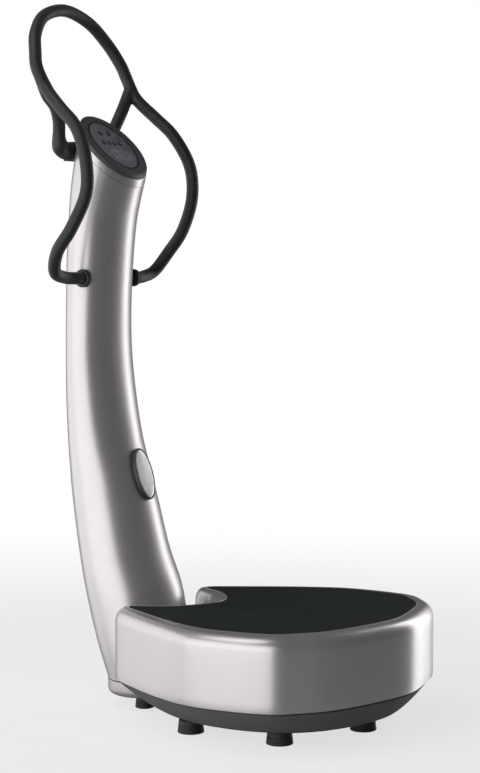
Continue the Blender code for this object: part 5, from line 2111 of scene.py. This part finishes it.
# --- Handle -------------------------------------------------------------------
@dataclass
class Handle:
    """The looped handle: one foam skin, its collars, elbows and bracket."""

    kit: Kit
    radius: float = 0.0140
    steps: int = 10
    voxel: float = 0.0021
    start: Flat = (0.307, 0.938)
    right: tuple[Row, ...] = (
        (0.150, 0.316, 0.940),
        (0.192, 0.312, 0.953),
        (0.215, 0.288, 0.996),
        (0.216, 0.250, 1.046),
        (0.207, 0.219, 1.118),
        (0.203, 0.2225, 1.190),
        (0.189, 0.2560, 1.257),
        (0.1825, 0.3000, 1.299),
        (0.1745, 0.3350, 1.331),
        (0.1705, 0.3510, 1.350),
        (0.1710, 0.3640, 1.372),
        (0.1700, 0.3750, 1.396),
        (0.1610, 0.3840, 1.424),
        (0.136, 0.402, 1.468),
        (0.084, 0.417, 1.5120),
        (0.000, 0.422, 1.5320),
    )
    support: tuple[Row, ...] = (
        (0.1712, 0.3625, 1.369),
        (0.1480, 0.3622, 1.333),
        (0.1260, 0.3575, 1.310),
        (0.1095, 0.3605, 1.283),
        (0.1005, 0.3660, 1.260),
        (0.1000, 0.3670, 1.243),
    )
    elbow: tuple[Row, ...] = (
        (0.1000, 0.3670, 1.2520, 0.0141),
        (0.0998, 0.3668, 1.2420, 0.0150),
        (0.0980, 0.3668, 1.2320, 0.0172),
        (0.0915, 0.3685, 1.2250, 0.0188),
        (0.0800, 0.3740, 1.2222, 0.0190),
        (0.0580, 0.3860, 1.2200, 0.0190),
        (0.0440, 0.3900, 1.2180, 0.0190),
        (0.0323, 0.3900, 1.2180, 0.0190),
    )

    def _foam(self) -> None:
        """Build the foam skin of the grips, the hoop and the supports."""
        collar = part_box("collar_right")[1].x + GAP
        stub = [(collar, *self.start), (collar + 0.008, *self.start)]
        half = smooth_path([stub[1], *self.right, *flipped([self.right[-2]])], self.steps)
        half = [stub[0], *half[: -self.steps]]
        loop = [*half, *reversed(flipped(half[:-1]))]
        branch = smooth_path(list(self.support), self.steps)
        paths = [[(*point, self.radius) for point in path]
                 for path in (loop, branch, flipped(branch))]
        obj = self.kit.sweep.tube("foam_skin", paths, self.kit.look.foam, 32)
        obj = self._fuse(obj)
        nodes = ("grip_sleeve_left", "grip_sleeve_right", "hoop_sleeve",
                 "support_sleeve_left", "support_sleeve_right")
        self.kit.mount(obj, "stand", "handle_foam", nodes)

    def _fuse(self, obj: Piece) -> Piece:
        """Fuse the tubes into one closed skin with soft joints.

        Args:
            obj: The tubes.

        Returns:
            The skin.
        """
        remesh = obj.modifiers.new("Skin", "REMESH")
        remesh.mode = "VOXEL"
        remesh.voxel_size = self.voxel
        relax = obj.modifiers.new("Relax", "SMOOTH")
        relax.factor = 0.5
        relax.iterations = 14
        settle(obj)
        obj.data.materials.clear()
        obj.data.materials.append(self.kit.look.foam)
        obj.data.shade_smooth()
        return obj

    def _collars(self) -> None:
        """Build the grooved collars where the handle enters the column."""
        for side, way in (("left", -1), ("right", 1)):
            low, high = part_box(f"collar_{side}")
            outer, length = (high.z - low.z) / 2, high.x - low.x
            inner = low.x if way > 0 else high.x
            spot = turned_frame((inner, *self.start), 90.0 * way, "Y")
            profile = [(0.0104, 0.0), (outer, 0.0), (outer, length - 0.0085)]
            for k in range(2):
                z = length - 0.0075 + 0.0022 * k
                profile += [(outer - 0.0005, z), (outer - 0.0005, z + 0.0006), (outer, z + 0.0010)]
            profile += [(outer, length - 0.0030), (outer - 0.0009, length - 0.0010),
                        (outer - 0.0030, length), (0.0135, length), (0.0104, length - 0.001)]
            form = Form().turned(profile, 72, spot).outwards()
            obj = form.piece(f"grip_collar_{side}", self.kit.look.fitting)
            self.kit.mount(obj, "stand", "handle_fitting", (f"collar_{side}",))

    def _elbows(self) -> None:
        """Build the bends that carry the supports into the bracket."""
        path = smooth_path(list(self.elbow), 6)
        for side, points in (("right", path), ("left", flipped(path))):
            obj = self.kit.sweep.tube(f"bend_{side}", [points], self.kit.look.fitting, 48)
            self.kit.mount(obj, "stand", "handle_fitting", (f"support_elbow_{side}",))

    def _bracket(self) -> None:
        """Build the clamp block behind the head, with its two bolts."""
        low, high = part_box("support_bracket")
        obj = Form().block(low, high).outwards().piece("clamp_block", self.kit.look.fitting)
        slot = Form().block(
            Vector((low.x - 0.01, high.y - 0.004, (low.z + high.z) / 2 - 0.0008)),
            Vector((high.x + 0.01, high.y + 0.01, (low.z + high.z) / 2 + 0.0008)),
        )
        carved(obj, slot.outwards().piece("clamp_slot", self.kit.look.fitting))
        self.kit.mount(rounded(obj, 0.0038, 4), "stand", "handle_fitting", ("support_bracket",))
        z = (low.z + high.z) / 2
        spots = [Spot((x, high.y, z + dz), (0.0, 1.0, 0.0))
                 for x in (-0.018, 0.018) for dz in (-0.011, 0.011)]
        screws = self.kit.screws("clamp_screws", spots, 0.0036)
        self.kit.mount(screws, "stand", "frame_steel")

    def build(self) -> None:
        """Build the handle and dress its steel tubes."""
        self._foam()
        self._collars()
        self._elbows()
        self._bracket()
        nodes = ("handle_tube", "support_tube_left", "support_tube_right")
        self.kit.dress(nodes, self.kit.look.tube)


# --- Studio -------------------------------------------------------------------
@dataclass
class Studio:
    """The camera, the pale floor and the soft lights."""

    eye: Row = (-3.830, -2.363, 0.978)
    heading: Flat = (0.8545, 0.5195)
    pitch: float = math.radians(3.45)
    lens: float = 97.8
    floor_radius: float = 3.2
    ambient: float = 0.12

    def camera(self) -> None:
        """Set the camera at the eye, looking along its heading."""
        data = bpy.data.cameras.new("camera")
        data.lens = self.lens
        data.sensor_width = 36.0
        data.clip_end = 60.0
        obj = placed("camera", data)
        obj.location = self.eye
        level = math.cos(self.pitch)
        aim = Vector((self.heading[0] * level, self.heading[1] * level, -math.sin(self.pitch)))
        obj.rotation_euler = aim.to_track_quat("-Z", "Y").to_euler()
        bpy.context.scene.camera = obj

    def floor(self) -> None:
        """Lay the pale floor, which fades out far from the object."""
        graph = Graph("studio_floor")
        reach = graph.node("ShaderNodeVectorMath", {"operation": "LENGTH"}, {0: graph.place},
                           "Value")
        haze = graph.noise(3.0, 2.0)
        graph.set(Base_Color=graph.tones(haze, (0.84, 0.84, 0.84), (0.88, 0.88, 0.88)))
        graph.set(Roughness=0.75 + haze * 0.1)
        graph.set(Alpha=0.30 - reach.ramp(0.9, self.floor_radius) * 0.30)
        rings = [[(x, y, 0.0) for x, y in oval(radius, radius, 96)]
                 for radius in (self.floor_radius, self.floor_radius / 2, 0.2)]
        floor = Form().loft(rings, caps=(False, True)).piece("floor", graph.material)
        floor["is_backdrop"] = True

    def world(self) -> None:
        """Fill the room with soft light, white where it is seen directly."""
        world = bpy.data.worlds.new("room")
        bpy.context.scene.world = world
        world.use_nodes = True
        tree = world.node_tree
        seen = tree.nodes.new("ShaderNodeBackground")
        seen.inputs["Color"].default_value = (1.0, 1.0, 1.0, 1.0)
        light = tree.nodes["Background"]
        light.inputs["Color"].default_value = (self.ambient, self.ambient, self.ambient, 1.0)
        path = tree.nodes.new("ShaderNodeLightPath")
        mix = tree.nodes.new("ShaderNodeMixShader")
        tree.links.new(path.outputs["Is Camera Ray"], mix.inputs[0])
        tree.links.new(light.outputs[0], mix.inputs[1])
        tree.links.new(seen.outputs[0], mix.inputs[2])
        tree.links.new(mix.outputs[0], tree.nodes["World Output"].inputs[0])

    @staticmethod
    def lamp(name: str, place: Row, aim: Row, size: Flat, power: float) -> None:
        """Hang a soft rectangular light that points at a place.

        Args:
            name: The light's name.
            place: Where it hangs.
            aim: The place that it points at.
            size: Its width and height.
            power: Its power in watts.
        """
        data = bpy.data.lights.new(name, "AREA")
        data.shape = "RECTANGLE"
        data.size, data.size_y = size
        data.energy = power
        obj = placed(name, data)
        obj.location = place
        obj.visible_camera = False
        way = Vector(aim) - Vector(place)
        obj.rotation_euler = way.to_track_quat("-Z", "Y").to_euler()

    def build(self) -> None:
        """Set up the whole studio."""
        bpy.context.scene.view_settings.view_transform = "Standard"
        self.camera()
        self.floor()
        self.world()
        self.lamp("key_left", (-3.10, 0.92, 0.75), (0.0, 0.2, 0.75), (6.0, 4.0), 112.0)
        self.lamp("side_left", (-0.40, 3.20, 0.60), (0.0, 0.1, 0.60), (2.8, 3.4), 36.0)
        self.lamp("strip_right", (2.6, -0.75, 0.5), (0.0, 0.0, 0.5), (0.9, 3.4), 27.0)
        self.lamp("top", (-1.2, 0.8, 3.0), (0.0, 0.0, 0.2), (1.6, 1.6), 16.0)
        LOG.info("studio: camera, floor and four lights")


def corners() -> list[list[float]]:
    """Return the shown object's lowest and highest corner as plain lists."""
    return [[round(value, 6) for value in corner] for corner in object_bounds()]


def main() -> None:
    """Build every sub-assembly in order."""
    logging.basicConfig(level=logging.INFO, format="%(message)s")
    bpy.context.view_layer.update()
    kit = Kit()
    outline = Outline()
    plane = ConsolePlane()
    Studio().build()
    Cover(kit, outline).build()
    Mat(kit, outline).build()
    Drive(kit).build()
    Base(kit, outline).build()
    Column(kit, plane).build()
    Console(kit, plane).build()
    Handle(kit).build()


if __name__ == "__main__":
    main()
